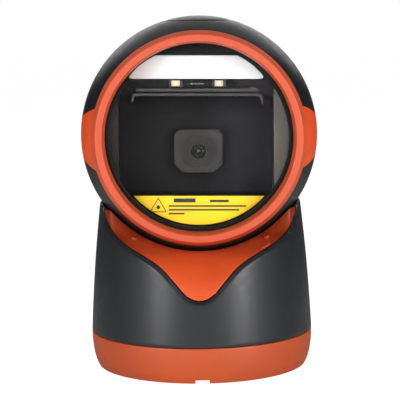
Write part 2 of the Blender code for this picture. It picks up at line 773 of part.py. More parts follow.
def make_electronics():
    board = block("main_board", (-26, 20.0, -20), (26, 21.6, 22), "circuit_board", HEAD_AXIS)
    for side in (-1, 1):
        x = side * 22
        hole = along_y(f"board_hole_{side + 2}", 1.7, 18, 24, x, 18, None, 12)
        cut(board, hole)
        profile = [(0, -14.0), (1.3, -14.0), (1.3, -21.9), (2.4, -21.9), (2.4, -23.4), (0, -23.4)]
        name = "board_screw_1" if side < 0 else "board_screw_2"
        screw = turned(name, profile, "steel", HEAD_AXIS, SCREW_SIDES, closed=False)
        face_forward(screw)
        screw.location = Vector((x, 0, 18)) * MM
    block("decoder_shield", (-10, 21.9, -10), (10, 24.4, 10), "steel", HEAD_AXIS, bevel=0.4)
    profile = [(0, -32.0), (7.5, -32.0), (8.0, -32.5), (8.0, -39.5), (1.0, -39.5), (1.0, -37.0), (0, -37.0)]
    face_forward(turned("beeper", profile, "matte_black", HEAD_AXIS, 24, closed=False))
    ribbon = [(0, 4.9), (0, 9.0), (0, 14.0), (0, 19.7)]
    sag = (0.0, -2.0, -2.0, 0.0)
    outline = [(y, drop - 8.0) for (_, y), drop in zip(ribbon, sag)]
    outline += [(y, drop - 8.3) for (_, y), drop in reversed(list(zip(ribbon, sag)))]
    flex = outline_plate("flex_cable", outline, -5, 5, "cable_sheath", HEAD_AXIS)
    flex.rotation_euler = (math.pi / 2, 0, math.pi / 2)
    flex.location = (0, 0, 0)
    route = [(0, 17.0, -25.0), (0, 21.0, -26.5), (0, 24.0, -22.0), (0, 24.0, -12.0)]
    tube("harness_upper", route, HARNESS_R, "cable_sheath", HEAD_AXIS)


def make_button():
    """Crowned cap in the top of the ball, its stem, and the switch that it presses."""
    cap = [(0, BUTTON_TOP), (7.0, BUTTON_TOP - 0.25), (12.5, BUTTON_TOP - 1.2),
           (BUTTON_R, BUTTON_TOP - 2.0), (BUTTON_R, 45.0), (BUTTON_FLANGE_R, 45.0), (BUTTON_FLANGE_R, 44.0),
           (12.0, 44.0), (12.0, 46.6), (0, 46.9)]
    turned("top_button", cap, "black_shell", BUTTON_AXIS, 32, closed=False)
    rod("switch_stem", 1.7, 40.6, 46.5, "matte_black", BUTTON_AXIS, SCREW_SIDES)
    block("button_board", (-13, -9, 35.4), (13, 9, 36.6), "circuit_board", HEAD_AXIS)
    switch = block("switch_body", (-3.1, -3.1, 36.9), (3.1, 3.1, 41.9), "matte_black", HEAD_AXIS)
    cut(switch, rod("switch_well", 2.05, 39.6, 43.0, None, HEAD_AXIS, 16))


def make_head():
    make_head_shells()
    make_front_bezel()
    make_window()
    make_optical_tray()
    make_window_contents()
    make_camera()
    make_electronics()
    make_button()


clear_scene()
PARTS = new_collection("presentation_scanner")
CUTTERS = new_collection("cutters")
HEAD_AXIS = empty("head_tilt_axis", (0, 0, BALL_Z))
BUTTON_AXIS = empty("button_axis", (0, 0, 0), HEAD_AXIS)
CLAMP_AXIS = empty("clamp_axis", (0, 0, BALL_Z), rotation=(CLAMP_LEAN, 0, 0))
make_base()
make_head()
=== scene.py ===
"""Looks of the presentation barcode scanner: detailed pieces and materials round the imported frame.

Lengths are in millimetres and MM turns them into metres where a mesh is made. +Z is up and the
window faces -Y. Head pieces are made about the ball's centre in the level pose, and f is the
distance in front of it.
"""
import json
import math

import bmesh
import bpy
from mathutils import Matrix, Vector


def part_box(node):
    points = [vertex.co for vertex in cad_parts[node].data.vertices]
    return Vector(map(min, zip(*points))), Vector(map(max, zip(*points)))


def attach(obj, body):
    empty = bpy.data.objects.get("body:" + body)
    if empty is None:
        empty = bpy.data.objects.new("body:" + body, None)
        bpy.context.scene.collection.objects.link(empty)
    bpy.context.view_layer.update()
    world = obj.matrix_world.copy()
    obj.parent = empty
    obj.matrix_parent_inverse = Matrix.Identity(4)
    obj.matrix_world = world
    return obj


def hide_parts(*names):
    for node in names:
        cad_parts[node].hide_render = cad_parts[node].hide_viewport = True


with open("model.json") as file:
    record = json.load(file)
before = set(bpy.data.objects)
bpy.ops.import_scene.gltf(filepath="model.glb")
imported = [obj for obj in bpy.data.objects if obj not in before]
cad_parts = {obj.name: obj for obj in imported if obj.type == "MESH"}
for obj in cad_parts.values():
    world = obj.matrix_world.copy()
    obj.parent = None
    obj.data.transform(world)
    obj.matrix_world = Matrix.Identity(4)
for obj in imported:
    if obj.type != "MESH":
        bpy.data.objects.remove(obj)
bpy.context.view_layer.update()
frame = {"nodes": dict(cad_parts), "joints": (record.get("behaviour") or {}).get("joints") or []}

MM = 0.001
GAP = 0.3
SHARP_ANGLE = math.radians(32.0)
JOINTS = {joint["name"]: joint for joint in frame["joints"]}
BALL_Z = JOINTS["head_tilt"]["pos_m"][2] / MM
HEAD = Vector((0, 0, BALL_Z)) * MM


def box_mm(node, origin=(0, 0, 0)):
    """Lowest and highest corner of a CAD node from an origin, all in millimetres."""
    low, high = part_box(node)
    return low / MM - Vector(origin), high / MM - Vector(origin)


def head_box(node):
    return box_mm(node, (0, 0, BALL_Z))


def middle_of(low, high):
    """Middle of a box, as three plain numbers."""
    return [(first + last) / 2 for first, last in zip(low, high)]


# Ball head.
BALL_R = 49.95
BALL_WALL = 2.15
WALL_MIDDLE = 1.0
FACE_F = 23.0
SEAM_Y = 16.0
REAR_FLAT_Y = head_box("head_rear_shell")[1].y
BALL_SIDES = 160
SHELL_SCREW_R = 40.5
SHELL_SCREW_ANGLES = (30, 150, 210, 330)
WELL_R = 3.0
WELL_FLOOR_F = -20.2
WELL_WALL = 1.3
WELL_HOLE_R = 1.7
BEEPER_SLOTS = (-6, -3, 0, 3, 6)

# Bezel ring and side tabs.
RING_OUTER_R = 44.4
RING_FACE_OUTER_R = 42.6
RING_FACE_INNER_R = 39.9
RING_BORE_R = 38.9
RING_FACE_F = -head_box("front_bezel")[0].y
RING_BACK_F = 19.9
TAB_HALF_FRONT = 13.4
TAB_HALF_PIVOT = 6.8
TAB_LEAN = math.radians(16.5)
TAB_FRONT_Y = -FACE_F - 1.6
DIMPLE_Y = -12.5
DIMPLE_R = 5.0
DIMPLE_DEPTH = 0.35

# Behind the window.
TRAY_F = -head_box("optical_tray")[0].y
CAMERA_X = -0.3
SHROUD_GROOVES = (7.2, 6.3, 5.1, 4.1)
CHAMBER_HALF_X = 32.4
CHAMBER_RIGHT_X = 31.5
CHAMBER_LOW = -24.3
CHAMBER_HIGH = 17.0
CHAMBER_BACK_F = 4.0
SEGMENT_R = 37.7
SEGMENT_X = -0.4
GASKET_TOP = 23.4
BOARD_CHIP_Z = 22.1
GROOVE_WIDE = 0.26
GROOVE_DEEP = 0.8
CHAMBER_WALL = 1.4
LEVEL_TURN = math.radians(-0.83)
LEVEL_X = -0.75
CAMERA_Z = middle_of(*head_box("camera_shroud"))[2]

# Base.
SKIRT_LOW, SKIRT_HIGH = box_mm("base_skirt")
SEAM_Z = SKIRT_HIGH.z + GAP / 2
RIM_Z = box_mm("base_body")[1].z
BASE_MAX_R = 46.98
BASE_WALL = 2.4
LINER_Z = 66.2
LINER_FRONT_Z = 70.0
LIP_SIDE_Z = 68.5
NUB_X = 27.5
NUB_Z = 57.4
NUB_R = 1.2
CUP_R = 50.9
CUP_WALL = 1.4
RIM_CLEAR_R = 50.5
LIP_FORWARD = 18.5
EDGE_R = 44.5
EDGE_POINTS = ((0, 34.5), (7, 36.6), (14, 42.5), (21, 47.8), (30, 51.6), (44, 55.7), (57, 59.8),
               (67.5, 64.6), (73, 68.4), (76, RIM_Z))
EDGE_SHIFT = -0.7
EDGE_STEP = 0.9
CHAMFER_WIDE = 1.4
CHAMFER_DEEP = 1.2
GROOVE = 0.18
LINER_INSET = 1.0
RIM_INNER_Z = 66.5

# Joints between the two head shells, and the clamp under the ball.
TONGUE = ((44.0, -17.4), (43.2, -17.4), (44.4, -15.2))
TONGUE_ROOT_R = 44.7
FRONT_INNER_F = -15.05
STUD_LEAN = math.radians(15.0)
STUD_HOLE_R = 4.35
SLOT_HALF_X = 4.4
SLOT_INNER_R = 44.0
SLOT_OUTER_R = 54.0
SADDLE_ROOM_RADII = (45.1, 40.0)
SADDLE_ROOM_F = (-17.8, -15.0)
SADDLE_ROOM_HALF = math.radians(25.0)
BUTTON_R = 13.5
BUTTON_HOLE_R = 14.4
CROWN_RADII = (2, 4, 6, 8, 10, 11.5)


# ---------------------------------------------------------------- shapes

def placed(name, data):
    """A new object in the scene that holds some data."""
    item = bpy.data.objects.new(name, data)
    bpy.context.scene.collection.objects.link(item)
    return item


def finished(name, work, place=None):
    """Turn a bmesh in millimetres into an object in metres, smooth except at sharp edges."""
    bmesh.ops.remove_doubles(work, verts=work.verts, dist=0.0005)
    bmesh.ops.recalc_face_normals(work, faces=work.faces)
    mesh = bpy.data.meshes.new(name)
    work.to_mesh(mesh)
    work.free()
    mesh.transform(Matrix.Scale(MM, 4) @ (place or Matrix.Identity(4)))
    smooth_but_for_edges(mesh)
    return placed(name, mesh)


def smooth_but_for_edges(mesh):
    mesh.shade_smooth()
    mesh.set_sharp_from_angle(angle=SHARP_ANGLE)


def soften(work, edges, bevel, segments=3, clamp=False):
    """Round some edges of a bmesh."""
    if bevel:
        bmesh.ops.bevel(work, geom=edges, offset=bevel, segments=segments, profile=0.5,
                        affect="EDGES", clamp_overlap=clamp)


def rims_of(work):
    """The edges that lie level."""
    return [edge for edge in work.edges if abs(edge.verts[0].co.z - edge.verts[1].co.z) < 1e-6]


def shift(x, y, z):
    return Matrix.Translation(Vector((x, y, z)))


def forward(x=0.0, z=0.0):
    """Placement in the head: local +Z points to the front, local x and y are the head's x and z."""
    return shift(x, 0, BALL_Z + z) @ Matrix.Rotation(math.pi / 2, 4, "X")


def level(x=0.0, z=0.0):
    """Placement for the pieces behind the window, which sit slightly turned and to the left."""
    return turned_place() @ shift(x + LEVEL_X, z, 0)


def turned_place():
    """Placement like forward(), turned as much as the pieces behind the window."""
    return forward() @ Matrix.Rotation(LEVEL_TURN, 4, "Z")


def backward(x=0.0, z=0.0):
    """Placement in the head whose local +Z points to the rear."""
    return shift(x, 0, BALL_Z + z) @ Matrix.Rotation(-math.pi / 2, 4, "X")


def upright():
    """Placement about the ball's centre with nothing turned."""
    return shift(0, 0, BALL_Z)


def sideways():
    """Placement whose local x and y are the head's y and z, with local Z across the head."""
    return upright() @ Matrix.Rotation(math.pi / 2, 4, "Z") @ Matrix.Rotation(math.pi / 2, 4, "X")


def rounded(corners, steps=4, closed=True):
    """Polygon corners (a, b[, radius]) with each radius turned into an equally fine arc."""
    points = []
    count = len(corners)
    for index, corner in enumerate(corners):
        here = Vector(corner[:2])
        radius = corner[2] if len(corner) > 2 else 0.0
        if not radius or (not closed and index in (0, count - 1)):
            points.append(tuple(here))
            continue
        before = Vector(corners[index - 1][:2]) - here
        after = Vector(corners[(index + 1) % count][:2]) - here
        turn = before.angle(after)
        reach = min(radius / math.tan(turn / 2), before.length * 0.49, after.length * 0.49)
        first = here + before.normalized() * reach
        last = here + after.normalized() * reach
        for step in range(steps + 1):
            t = step / steps
            points.append(tuple(first * (1 - t) ** 2 + here * 2 * t * (1 - t) + last * t ** 2))
    return points


def arc(radius, start, end, count):
    """Points on a circle between two angles in radians, both ends included."""
    return [(radius * math.cos(start + (end - start) * step / count),
             radius * math.sin(start + (end - start) * step / count)) for step in range(count + 1)]


def ball_arc(radius, start_f, end_f, count):
    """Points (radius about the axis, f) on a ball, from one f to another."""
    return arc(radius, math.asin(start_f / radius), math.asin(end_f / radius), count)


def loft_rings(work, rings, closed):
    """Join rings of points, the same number in each, into a skin."""
    rows = [[work.verts.new(point) for point in ring] for ring in rings]
    pairs = list(zip(rows, rows[1:])) + ([(rows[-1], rows[0])] if closed else [])
    for low, high in pairs:
        for index in range(len(low)):
            work.faces.new((low[index - 1], low[index], high[index], high[index - 1]))
    return rows


def lathe(name, profile, place, sides=64, closed=True):
    """Turn a profile of (radius, height) points about the placement's Z axis."""
    work = bmesh.new()
    turns = [2 * math.pi * step / sides for step in range(sides)]
    rings = [[(max(radius, 0.0) * math.cos(turn), max(radius, 0.0) * math.sin(turn), height)
              for turn in turns] for radius, height in profile]
    loft_rings(work, rings, closed)
    bmesh.ops.dissolve_degenerate(work, edges=work.edges, dist=0.0005)
    return finished(name, work, place)


def slab(name, outline, low, high, place=None, bevel=0.0):
    """A flat outline of (x, y) points between two heights, with its rims rounded."""
    work = bmesh.new()
    base = work.faces.new([work.verts.new((x, y, low)) for x, y in outline])
    raised = bmesh.ops.extrude_face_region(work, geom=[base])
    top = [item for item in raised["geom"] if isinstance(item, bmesh.types.BMVert)]
    bmesh.ops.translate(work, vec=(0, 0, high - low), verts=top)
    bmesh.ops.recalc_face_normals(work, faces=work.faces)
    soften(work, rims_of(work), bevel, clamp=True)
    return finished(name, work, place)


def peg(name, radius, low, high, place, sides=48, bevel=0.0):
    """A cylinder between two heights of the placement's Z axis."""
    work = bmesh.new()
    bmesh.ops.create_cone(work, cap_ends=True, segments=sides, radius1=radius, radius2=radius,
                          depth=high - low)
    bmesh.ops.translate(work, vec=(0, 0, (low + high) / 2), verts=work.verts)
    soften(work, rims_of(work), bevel)
    return finished(name, work, place)


def brick(name, low, high, bevel=0.2, place=None):
    """A box between two corners with every edge rounded."""
    work = bmesh.new()
    low, high = Vector(low), Vector(high)
    bmesh.ops.create_cube(work, size=1.0)
    bmesh.ops.scale(work, vec=high - low, verts=work.verts)
    bmesh.ops.translate(work, vec=(low + high) / 2, verts=work.verts)
    soften(work, work.edges[:], bevel, 2)
    return finished(name, work, place)


def combine(target, *others, operation="DIFFERENCE"):
    """Apply Boolean steps to a piece and remove the cutters."""
    for other in others:
        step = target.modifiers.new(other.name, "BOOLEAN")
        step.operation = operation
        step.solver = "EXACT"
        step.object = other
    apply_modifiers(target)
    for other in others:
        bpy.data.objects.remove(other, do_unlink=True)
    return target


def apply_modifiers(item):
    bpy.context.view_layer.update()
    graph = bpy.context.evaluated_depsgraph_get()
    mesh = bpy.data.meshes.new_from_object(item.evaluated_get(graph))
    item.modifiers.clear()
    old = item.data
    item.data = mesh
    bpy.data.meshes.remove(old)
    mesh.name = item.name
    smooth_but_for_edges(mesh)


def ball_normals(item, radii):
    """Give the faces that lie on balls round the head's centre the balls' own normals."""
    mesh = item.data
    normals = [Vector((0, 0, 0))] * len(mesh.loops)
    for face in mesh.polygons:
        arms = [mesh.vertices[index].co - HEAD for index in face.vertices]
        for radius in radii:
            if all(abs(arm.length - radius * MM) < 4e-6 for arm in arms):
                sign = 1 if face.normal.dot(face.center - HEAD) > 0 else -1
                for loop, arm in zip(face.loop_indices, arms):
                    normals[loop] = arm.normalized() * sign
    mesh.normals_split_custom_set(normals)


# ---------------------------------------------------------------- materials

class Finish:
    """A node material being put together round one Principled shader."""

    def __init__(self, name, colour, roughness, **values):
        self.material = bpy.data.materials.new(name)
        self.material.use_nodes = True
        self.nodes = self.material.node_tree.nodes
        self.links = self.material.node_tree.links
        self.shader = self.nodes["Principled BSDF"]
        self.set("Base Color", (*colour, 1.0))
        self.set("Roughness", roughness)
        for socket, value in values.items():
            self.set(socket.replace("_", " "), value)
        self.place = self.add("ShaderNodeTexCoord").outputs["Object"]
        self.colour = colour
        self.roughness = roughness
        self.height = None

    def set(self, socket, value):
        self.shader.inputs[socket].default_value = value

    def add(self, kind, **inputs):
        node = self.nodes.new(kind)
        for socket, value in inputs.items():
            node.inputs[socket.replace("_", " ")].default_value = value
        return node

    def noise(self, size, detail=2.0, stretch=None):
        """Noise whose features are about size millimetres across."""
        node = self.add("ShaderNodeTexNoise", Scale=1.0 / (size * MM), Detail=detail)
        source = self.place
        if stretch:
            mapping = self.add("ShaderNodeMapping", Scale=stretch)
            self.links.new(source, mapping.inputs["Vector"])
            source = mapping.outputs["Vector"]
        self.links.new(source, node.inputs["Vector"])
        return node.outputs["Fac"]

    def cells(self, size):
        node = self.add("ShaderNodeTexVoronoi", Scale=1.0 / (size * MM))
        self.links.new(self.place, node.inputs["Vector"])
        return node.outputs["Distance"]

    def along(self, axis):
        """A point's place along an axis, in metres."""
        split = self.add("ShaderNodeSeparateXYZ")
        self.links.new(self.place, split.inputs["Vector"])
        return split.outputs[axis]

    def range(self, source, low, high, start=0.3, end=0.7):
        node = self.nodes.new("ShaderNodeMapRange")
        limits = {"From Min": start, "From Max": end, "To Min": low, "To Max": high}
        for socket, value in limits.items():
            node.inputs[socket].default_value = value
        self.links.new(source, node.inputs["Value"])
        return node.outputs["Result"]

    def vary_colour(self, source, other, low=0.3, high=0.7):
        """Run the colour from its own value to another as the source rises."""
        mix = self.nodes.new("ShaderNodeMix")
        mix.data_type = "RGBA"
        ports = [port for port in mix.inputs if port.type == "RGBA"]
        before = self.shader.inputs["Base Color"].links
        if before:
            self.links.new(before[0].from_socket, ports[0])
        else:
            ports[0].default_value = (*self.colour, 1.0)
        ports[1].default_value = (*other, 1.0)
        self.links.new(self.range(source, 0.0, 1.0, low, high), mix.inputs["Factor"])
        out = [port for port in mix.outputs if port.type == "RGBA"][0]
        self.links.new(out, self.shader.inputs["Base Color"])
        return self

    def vary_roughness(self, source, spread):
        self.links.new(self.range(source, self.roughness - spread, self.roughness + spread),
                       self.shader.inputs["Roughness"])
        return self

    def bump(self, source, height, strength=1.0):
        """Raise the surface by up to height millimetres, on top of any bump before it."""
        node = self.add("ShaderNodeBump", Strength=strength, Distance=height * MM)
        self.links.new(source, node.inputs["Height"])
        if self.height:
            self.links.new(self.height, node.inputs["Normal"])
        self.height = node.outputs["Normal"]
        self.links.new(self.height, self.shader.inputs["Normal"])
        return self


def moulded(name, colour, roughness, grain=0.22, depth=0.006, **values):
    """Moulded plastic: fine spark texture, slight flow marks and handling sheen."""
    made = Finish(name, colour, roughness, **values)
    dark = tuple(part * 0.86 for part in colour)
    made.vary_colour(made.noise(14.0, 3.0), dark)
    made.vary_roughness(made.noise(3.0, 4.0), 0.045)
    made.bump(made.noise(grain, 2.0), depth)
    made.bump(made.cells(grain * 2.1), depth * 0.5, 0.6)
    return made.material


def moulded_edges(name, colour, light, roughness, **values):
    """Moulded plastic whose convex edges are lightened by a painted highlight."""
    made = Finish(name, colour, roughness, **values)
    made.vary_colour(made.noise(18.0, 3.0), tuple(part * 0.88 for part in colour))
    return plastic_with_painted_edge_highlights(made, light)


def plastic_with_painted_edge_highlights(made, light):
    """Painted highlight on convex edges, then the fine texture that the large mouldings share."""
    edge = made.nodes.new("ShaderNodeNewGeometry").outputs["Pointiness"]
    # Painted highlight: convex edges are lightened towards the given light colour.
    made.vary_colour(edge, light, 0.53, 0.62)
    made.vary_roughness(made.noise(2.6, 4.0), 0.05)
    made.bump(made.noise(0.24, 2.0), 0.006)
    made.bump(made.cells(0.5), 0.003, 0.6)
    return made.material


def cradle_orange():
    """Orange moulding, darkened by painted shade higher up in the recess round the ball."""
    made = Finish("cradle_abs", (0.72, 0.088, 0.018), 0.42)
    made.vary_colour(made.noise(18.0, 3.0), (0.68, 0.080, 0.016))
    # Painted shade: the orange darkens with height where the ball shades the recess.
    made.vary_colour(made.along("Z"), (0.25, 0.025, 0.003), 0.0510, 0.0582)
    return plastic_with_painted_edge_highlights(made, (0.78, 0.13, 0.04))


def ring_orange():
    """Orange moulding of the ring: its face a paler, pinker orange as painted sheen, the plain
    redder orange out on its side tabs.
    """
    # Painted reflection: the face's paler, pinker orange stands in for frontal sheen; the tabs
    # beyond it keep the plain orange.
    made = Finish("ring_abs", (0.59, 0.084, 0.031), 0.45)
    made.vary_colour(made.noise(18.0, 3.0), (0.56, 0.079, 0.028))
    for end in (1, -1):
        made.vary_colour(made.along("X"), (0.78, 0.080, 0.016), end * 0.0425, end * 0.0450)
    return plastic_with_painted_edge_highlights(made, (0.78, 0.15, 0.06))


def metal(name, colour, roughness, grain=0.3, stretch=None):
    made = Finish(name, colour, roughness, Metallic=1.0)
    made.vary_colour(made.noise(2.4, 3.0), tuple(part * 0.8 for part in colour))
    made.vary_roughness(made.noise(grain, 3.0, stretch), 0.08)
    made.bump(made.noise(grain * 0.5, 2.0, stretch), 0.003, 0.5)
    return made.material


def clear_glass(name, colour, bend):
    """Coated window glass with a faint wipe haze."""
    made = Finish(name, colour, 0.0, Transmission_Weight=1.0, IOR=bend)
    made.vary_colour(made.noise(25.0, 2.0), tuple(part * 0.99 for part in colour))
    return made.material


def coated_lens():
    """Dark lens with a faint cool coating over its ground rim."""
    made = Finish("lens_coating", (0.030, 0.028, 0.034), 0.16, Coat_Weight=1.0,
                  Coat_Roughness=0.08, Coat_IOR=1.7)
    made.vary_colour(made.noise(0.8, 1.0), (0.055, 0.050, 0.048))
    made.bump(made.noise(0.6, 1.0), 0.004, 0.3)
    return made.material


def diffuser_sheet():
    """Opal acrylic with a faint painted glow for the light from behind; painted shade dims its left
    end and turns it warm, and painted light brightens its right end.
    """
    # Painted glow: a faint emission stands in for the light from behind.
    made = Finish("opal_acrylic", (0.55, 0.535, 0.54), 0.35, Subsurface_Weight=0.2,
                  Subsurface_Scale=0.004, Emission_Color=(0.98, 0.97, 1.0, 1.0),
                  Emission_Strength=0.06)
    made.vary_colour(made.noise(9.0, 2.0), (0.54, 0.525, 0.53))
    # Painted shade: the left end falls off and turns warm.
    made.vary_colour(made.along("X"), (0.38, 0.30, 0.24), -0.014, -0.031)
    # Painted light: the right end is brightened.
    made.vary_colour(made.along("X"), (0.80, 0.78, 0.78), 0.012, 0.034)
    made.bump(made.noise(0.5, 2.0), 0.004)
    return made.material


def dark_chamber():
    """Light-trap plastic, greyed towards the window's right by painted light."""
    made = Finish("dark_optics", (0.0040, 0.0036, 0.0040), 0.62, Specular_IOR_Level=0.15)
    made.vary_colour(made.noise(12.0, 3.0), (0.0050, 0.0044, 0.0048))
    # Painted light: the chamber greys towards the window's right.
    made.vary_colour(made.along("X"), (0.0190, 0.0175, 0.0200), 0.002, 0.032)
    made.vary_roughness(made.noise(3.0, 4.0), 0.05)
    made.bump(made.noise(0.3, 2.0), 0.008)
    return made.material


def ribbon():
    """Flat cable: fine lengthwise conductors under a matt film."""
    made = Finish("ribbon_film", (0.30, 0.17, 0.06), 0.4)
    made.vary_colour(made.noise(0.5, 0.0, (1.0, 0.02, 0.02)), (0.20, 0.11, 0.04), 0.45, 0.55)
    made.bump(made.noise(0.5, 0.0, (1.0, 0.02, 0.02)), 0.02, 0.5)
    return made.material


def printed_vinyl():
    made = Finish("printed_vinyl", (0.66, 0.385, 0.012), 0.42, Specular_IOR_Level=0.3)
    made.vary_colour(made.noise(20.0, 2.0), (0.66, 0.46, 0.010))
    made.vary_colour(made.along("X"), (0.52, 0.34, 0.007), -0.012, -0.030)
    made.vary_roughness(made.noise(2.0, 3.0), 0.05)
    made.bump(made.noise(0.35, 3.0), 0.006)
    return made.material


def solder_mask(name, colour, traces, gloss=0.3):
    """Circuit board: lacquered copper tracks under a tinted mask, over a faint glass weave."""
    made = Finish(name, colour, 0.35, Coat_Weight=gloss, Coat_Roughness=0.15,
                  Specular_IOR_Level=gloss)
    tracks = made.cells(2.3)
    made.vary_colour(tracks, traces, 0.42, 0.5)
    made.bump(tracks, 0.02, 0.4)
    made.bump(made.noise(0.4, 1.0), 0.01, 0.5)
    return made.material


# The second colour of each moulded_edges finish is its painted edge highlight.
BLACK = moulded_edges("black_abs", (0.0130, 0.0140, 0.0165), (0.03, 0.03, 0.032), 0.36)
BALL_BLACK = moulded_edges("ball_abs", (0.012, 0.012, 0.013), (0.025, 0.025, 0.026), 0.35)
ORANGE = cradle_orange()
SKIRT_ORANGE = moulded_edges("skirt_abs", (0.55, 0.078, 0.015), (0.62, 0.105, 0.03), 0.46)
RING_ORANGE = ring_orange()
RUBBER = moulded("rubber", (0.010, 0.010, 0.010), 0.75, 0.5, 0.012)
DARK = dark_chamber()
# Lit and shaded copies of the tray's finish: painted shade on the left crescent, painted light on
# the right.
SHELF_LEFT_PAINTED_SHADE = moulded("shelf_left_painted_shade", (0.022, 0.019, 0.017), 0.6, 0.5, 0.015, Specular_IOR_Level=0.2)
SHELF_RIGHT_PAINTED_LIGHT = moulded("shelf_right_painted_light", (0.140, 0.126, 0.110), 0.6, 0.5, 0.03, Specular_IOR_Level=0.2)
RIBBON = ribbon()
DARK_PLATE = moulded("dark_plate", (0.024, 0.0215, 0.019), 0.60, 0.25, 0.006,
                     Specular_IOR_Level=0.25)
GASKET_BLACK = moulded("gasket_black", (0.006, 0.004, 0.003), 0.45, 0.4, 0.005,
                       Specular_IOR_Level=0.2)
STEEL = metal("steel", (0.56, 0.56, 0.57), 0.34)
ZINC = metal("zinc_plate", (0.62, 0.60, 0.55), 0.38, 0.8)
GOLD = metal("gold_contact", (0.90, 0.62, 0.25), 0.22)
CLEAR = clear_glass("coated_glass", (0.96, 0.97, 0.98), 1.06)
LENS = coated_lens()
OPAL = diffuser_sheet()
VINYL = printed_vinyl()
INK = moulded("black_ink", (0.012, 0.011, 0.010), 0.5, 0.2, 0.002)
SOCKET_BLACK = moulded("socket_nylon", (0.012, 0.012, 0.012), 0.5, 0.3, 0.006)
SHEATH = moulded("cable_jacket", (0.016, 0.016, 0.017), 0.48, 0.6, 0.010)
MASK = solder_mask("board_mask", (0.008, 0.07, 0.03), (0.02, 0.13, 0.05))
DARK_MASK = solder_mask("dark_mask", (0.005, 0.0048, 0.005), (0.009, 0.0088, 0.009), 0.08)
CERAMIC = moulded("led_ceramic", (0.40, 0.31, 0.24), 0.35, 0.3, 0.003)
PHOSPHOR = moulded("led_phosphor", (0.62, 0.50, 0.32), 0.30, 0.15, 0.004)
SILK = moulded("silk_screen", (0.11, 0.105, 0.10), 0.6, 0.1, 0.002)
SOLDER = metal("solder", (0.10, 0.095, 0.09), 0.45)
RIB_BLACK = moulded("rib_plastic", (0.038, 0.035, 0.033), 0.55, 0.25, 0.006, Specular_IOR_Level=0.3)


def wear(item, body, material, slot, *nodes):
    """Dress a piece, tie it to its body, and hide the CAD pieces it stands for."""
    item.data.materials.clear()
    item.data.materials.append(material)
    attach(item, body)
    if nodes:
        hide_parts(*nodes)
    return item


def keep(material, *nodes):
    """Dress the CAD pieces that are shown as they are."""
    for node in nodes:
        for slot in frame["nodes"][node].material_slots:
            slot.material = material


# ---------------------------------------------------------------- base

def body_radius(z):
    """Outer radius of the base: it narrows gently upwards and tucks in under the seam."""
    rise = z - SEAM_Z
    if rise > 0:
        return BASE_MAX_R - 0.0455 * rise - 0.000681 * rise ** 2
    tuck = min(-rise / 15.3, 1.0)
    return BASE_MAX_R - 4.0 * (1 - math.sqrt(1 - tuck ** 2))


def smooth(low, high, value):
    t = min(max((value - low) / (high - low), 0.0), 1.0)
    return t * t * (3 - 2 * t)


def through(points, steps=10):
    """A smooth curve through points, as many short steps."""
    made = []
    last = len(points) - 1
    for index in range(last):
        four = [Vector(points[min(max(index + offset, 0), last)]) for offset in (-1, 0, 1, 2)]
        for step in range(steps):
            t = step / steps
            weights = (-t + 2 * t ** 2 - t ** 3, 2 - 5 * t ** 2 + 3 * t ** 3,
                       t + 4 * t ** 2 - 3 * t ** 3, t ** 3 - t ** 2)
            weighted = (point * weight for point, weight in zip(four, weights))
            made.append(sum(weighted, Vector((0, 0))) / 2)
    return made + [Vector(points[-1])]


def spaced(points, step):
    """The same line with its points about step apart."""
    lengths = [0.0]
    for first, second in zip(points, points[1:]):
        lengths.append(lengths[-1] + (second - first).length)
    count = max(round(lengths[-1] / step), 1)
    made = []
    at = 0
    for index in range(count + 1):
        want = lengths[-1] * index / count
        while at < len(points) - 2 and lengths[at + 1] < want:
            at += 1
        share = (want - lengths[at]) / (lengths[at + 1] - lengths[at])
        made.append(points[at].lerp(points[at + 1], share))
    return made


def edge_line():
    """Upper edge of the black shell all the way round, as (distance round it, height) points."""
    back = math.pi * EDGE_R
    right = [(math.radians(angle) * EDGE_R, z) for angle, z in EDGE_POINTS]
    right += [(back * 0.7, RIM_Z), (back, RIM_Z)]
    left = [(-distance, z) for distance, z in reversed(right[1:])]
    line = spaced(through(left + right), EDGE_STEP)
    for _ in range(4):
        middle = [(before + here * 2 + after) / 4
                  for before, here, after in zip(line, line[1:], line[2:])]
        line = [line[0]] + middle + [line[-1]]
    for point in line:
        point.x += EDGE_SHIFT * (1 - smooth(35.0, 60.0, abs(math.degrees(point.x / EDGE_R))))
    return line


def outward(line, index):
    """Direction in the skin, square to the edge line, that leads away from the orange."""
    before = line[max(index - 1, 0)]
    after = line[min(index + 1, len(line) - 1)]
    along = (after - before).normalized()
    return Vector((along.y, -along.x))


def at_turn(distance, radius, z):
    turn = distance / EDGE_R
    return Vector((radius * math.sin(turn), -radius * math.cos(turn), z))


def on_base(distance, z, inset=0.0):
    return at_turn(distance, body_radius(z) - inset, z)


def section_radius(ball_r, z):
    """Radius about the vertical axis of a ball round the head's centre, at a height."""
    return math.sqrt(max(ball_r ** 2 - (BALL_Z - z) ** 2, 0.0))


EDGE_LINE = edge_line()


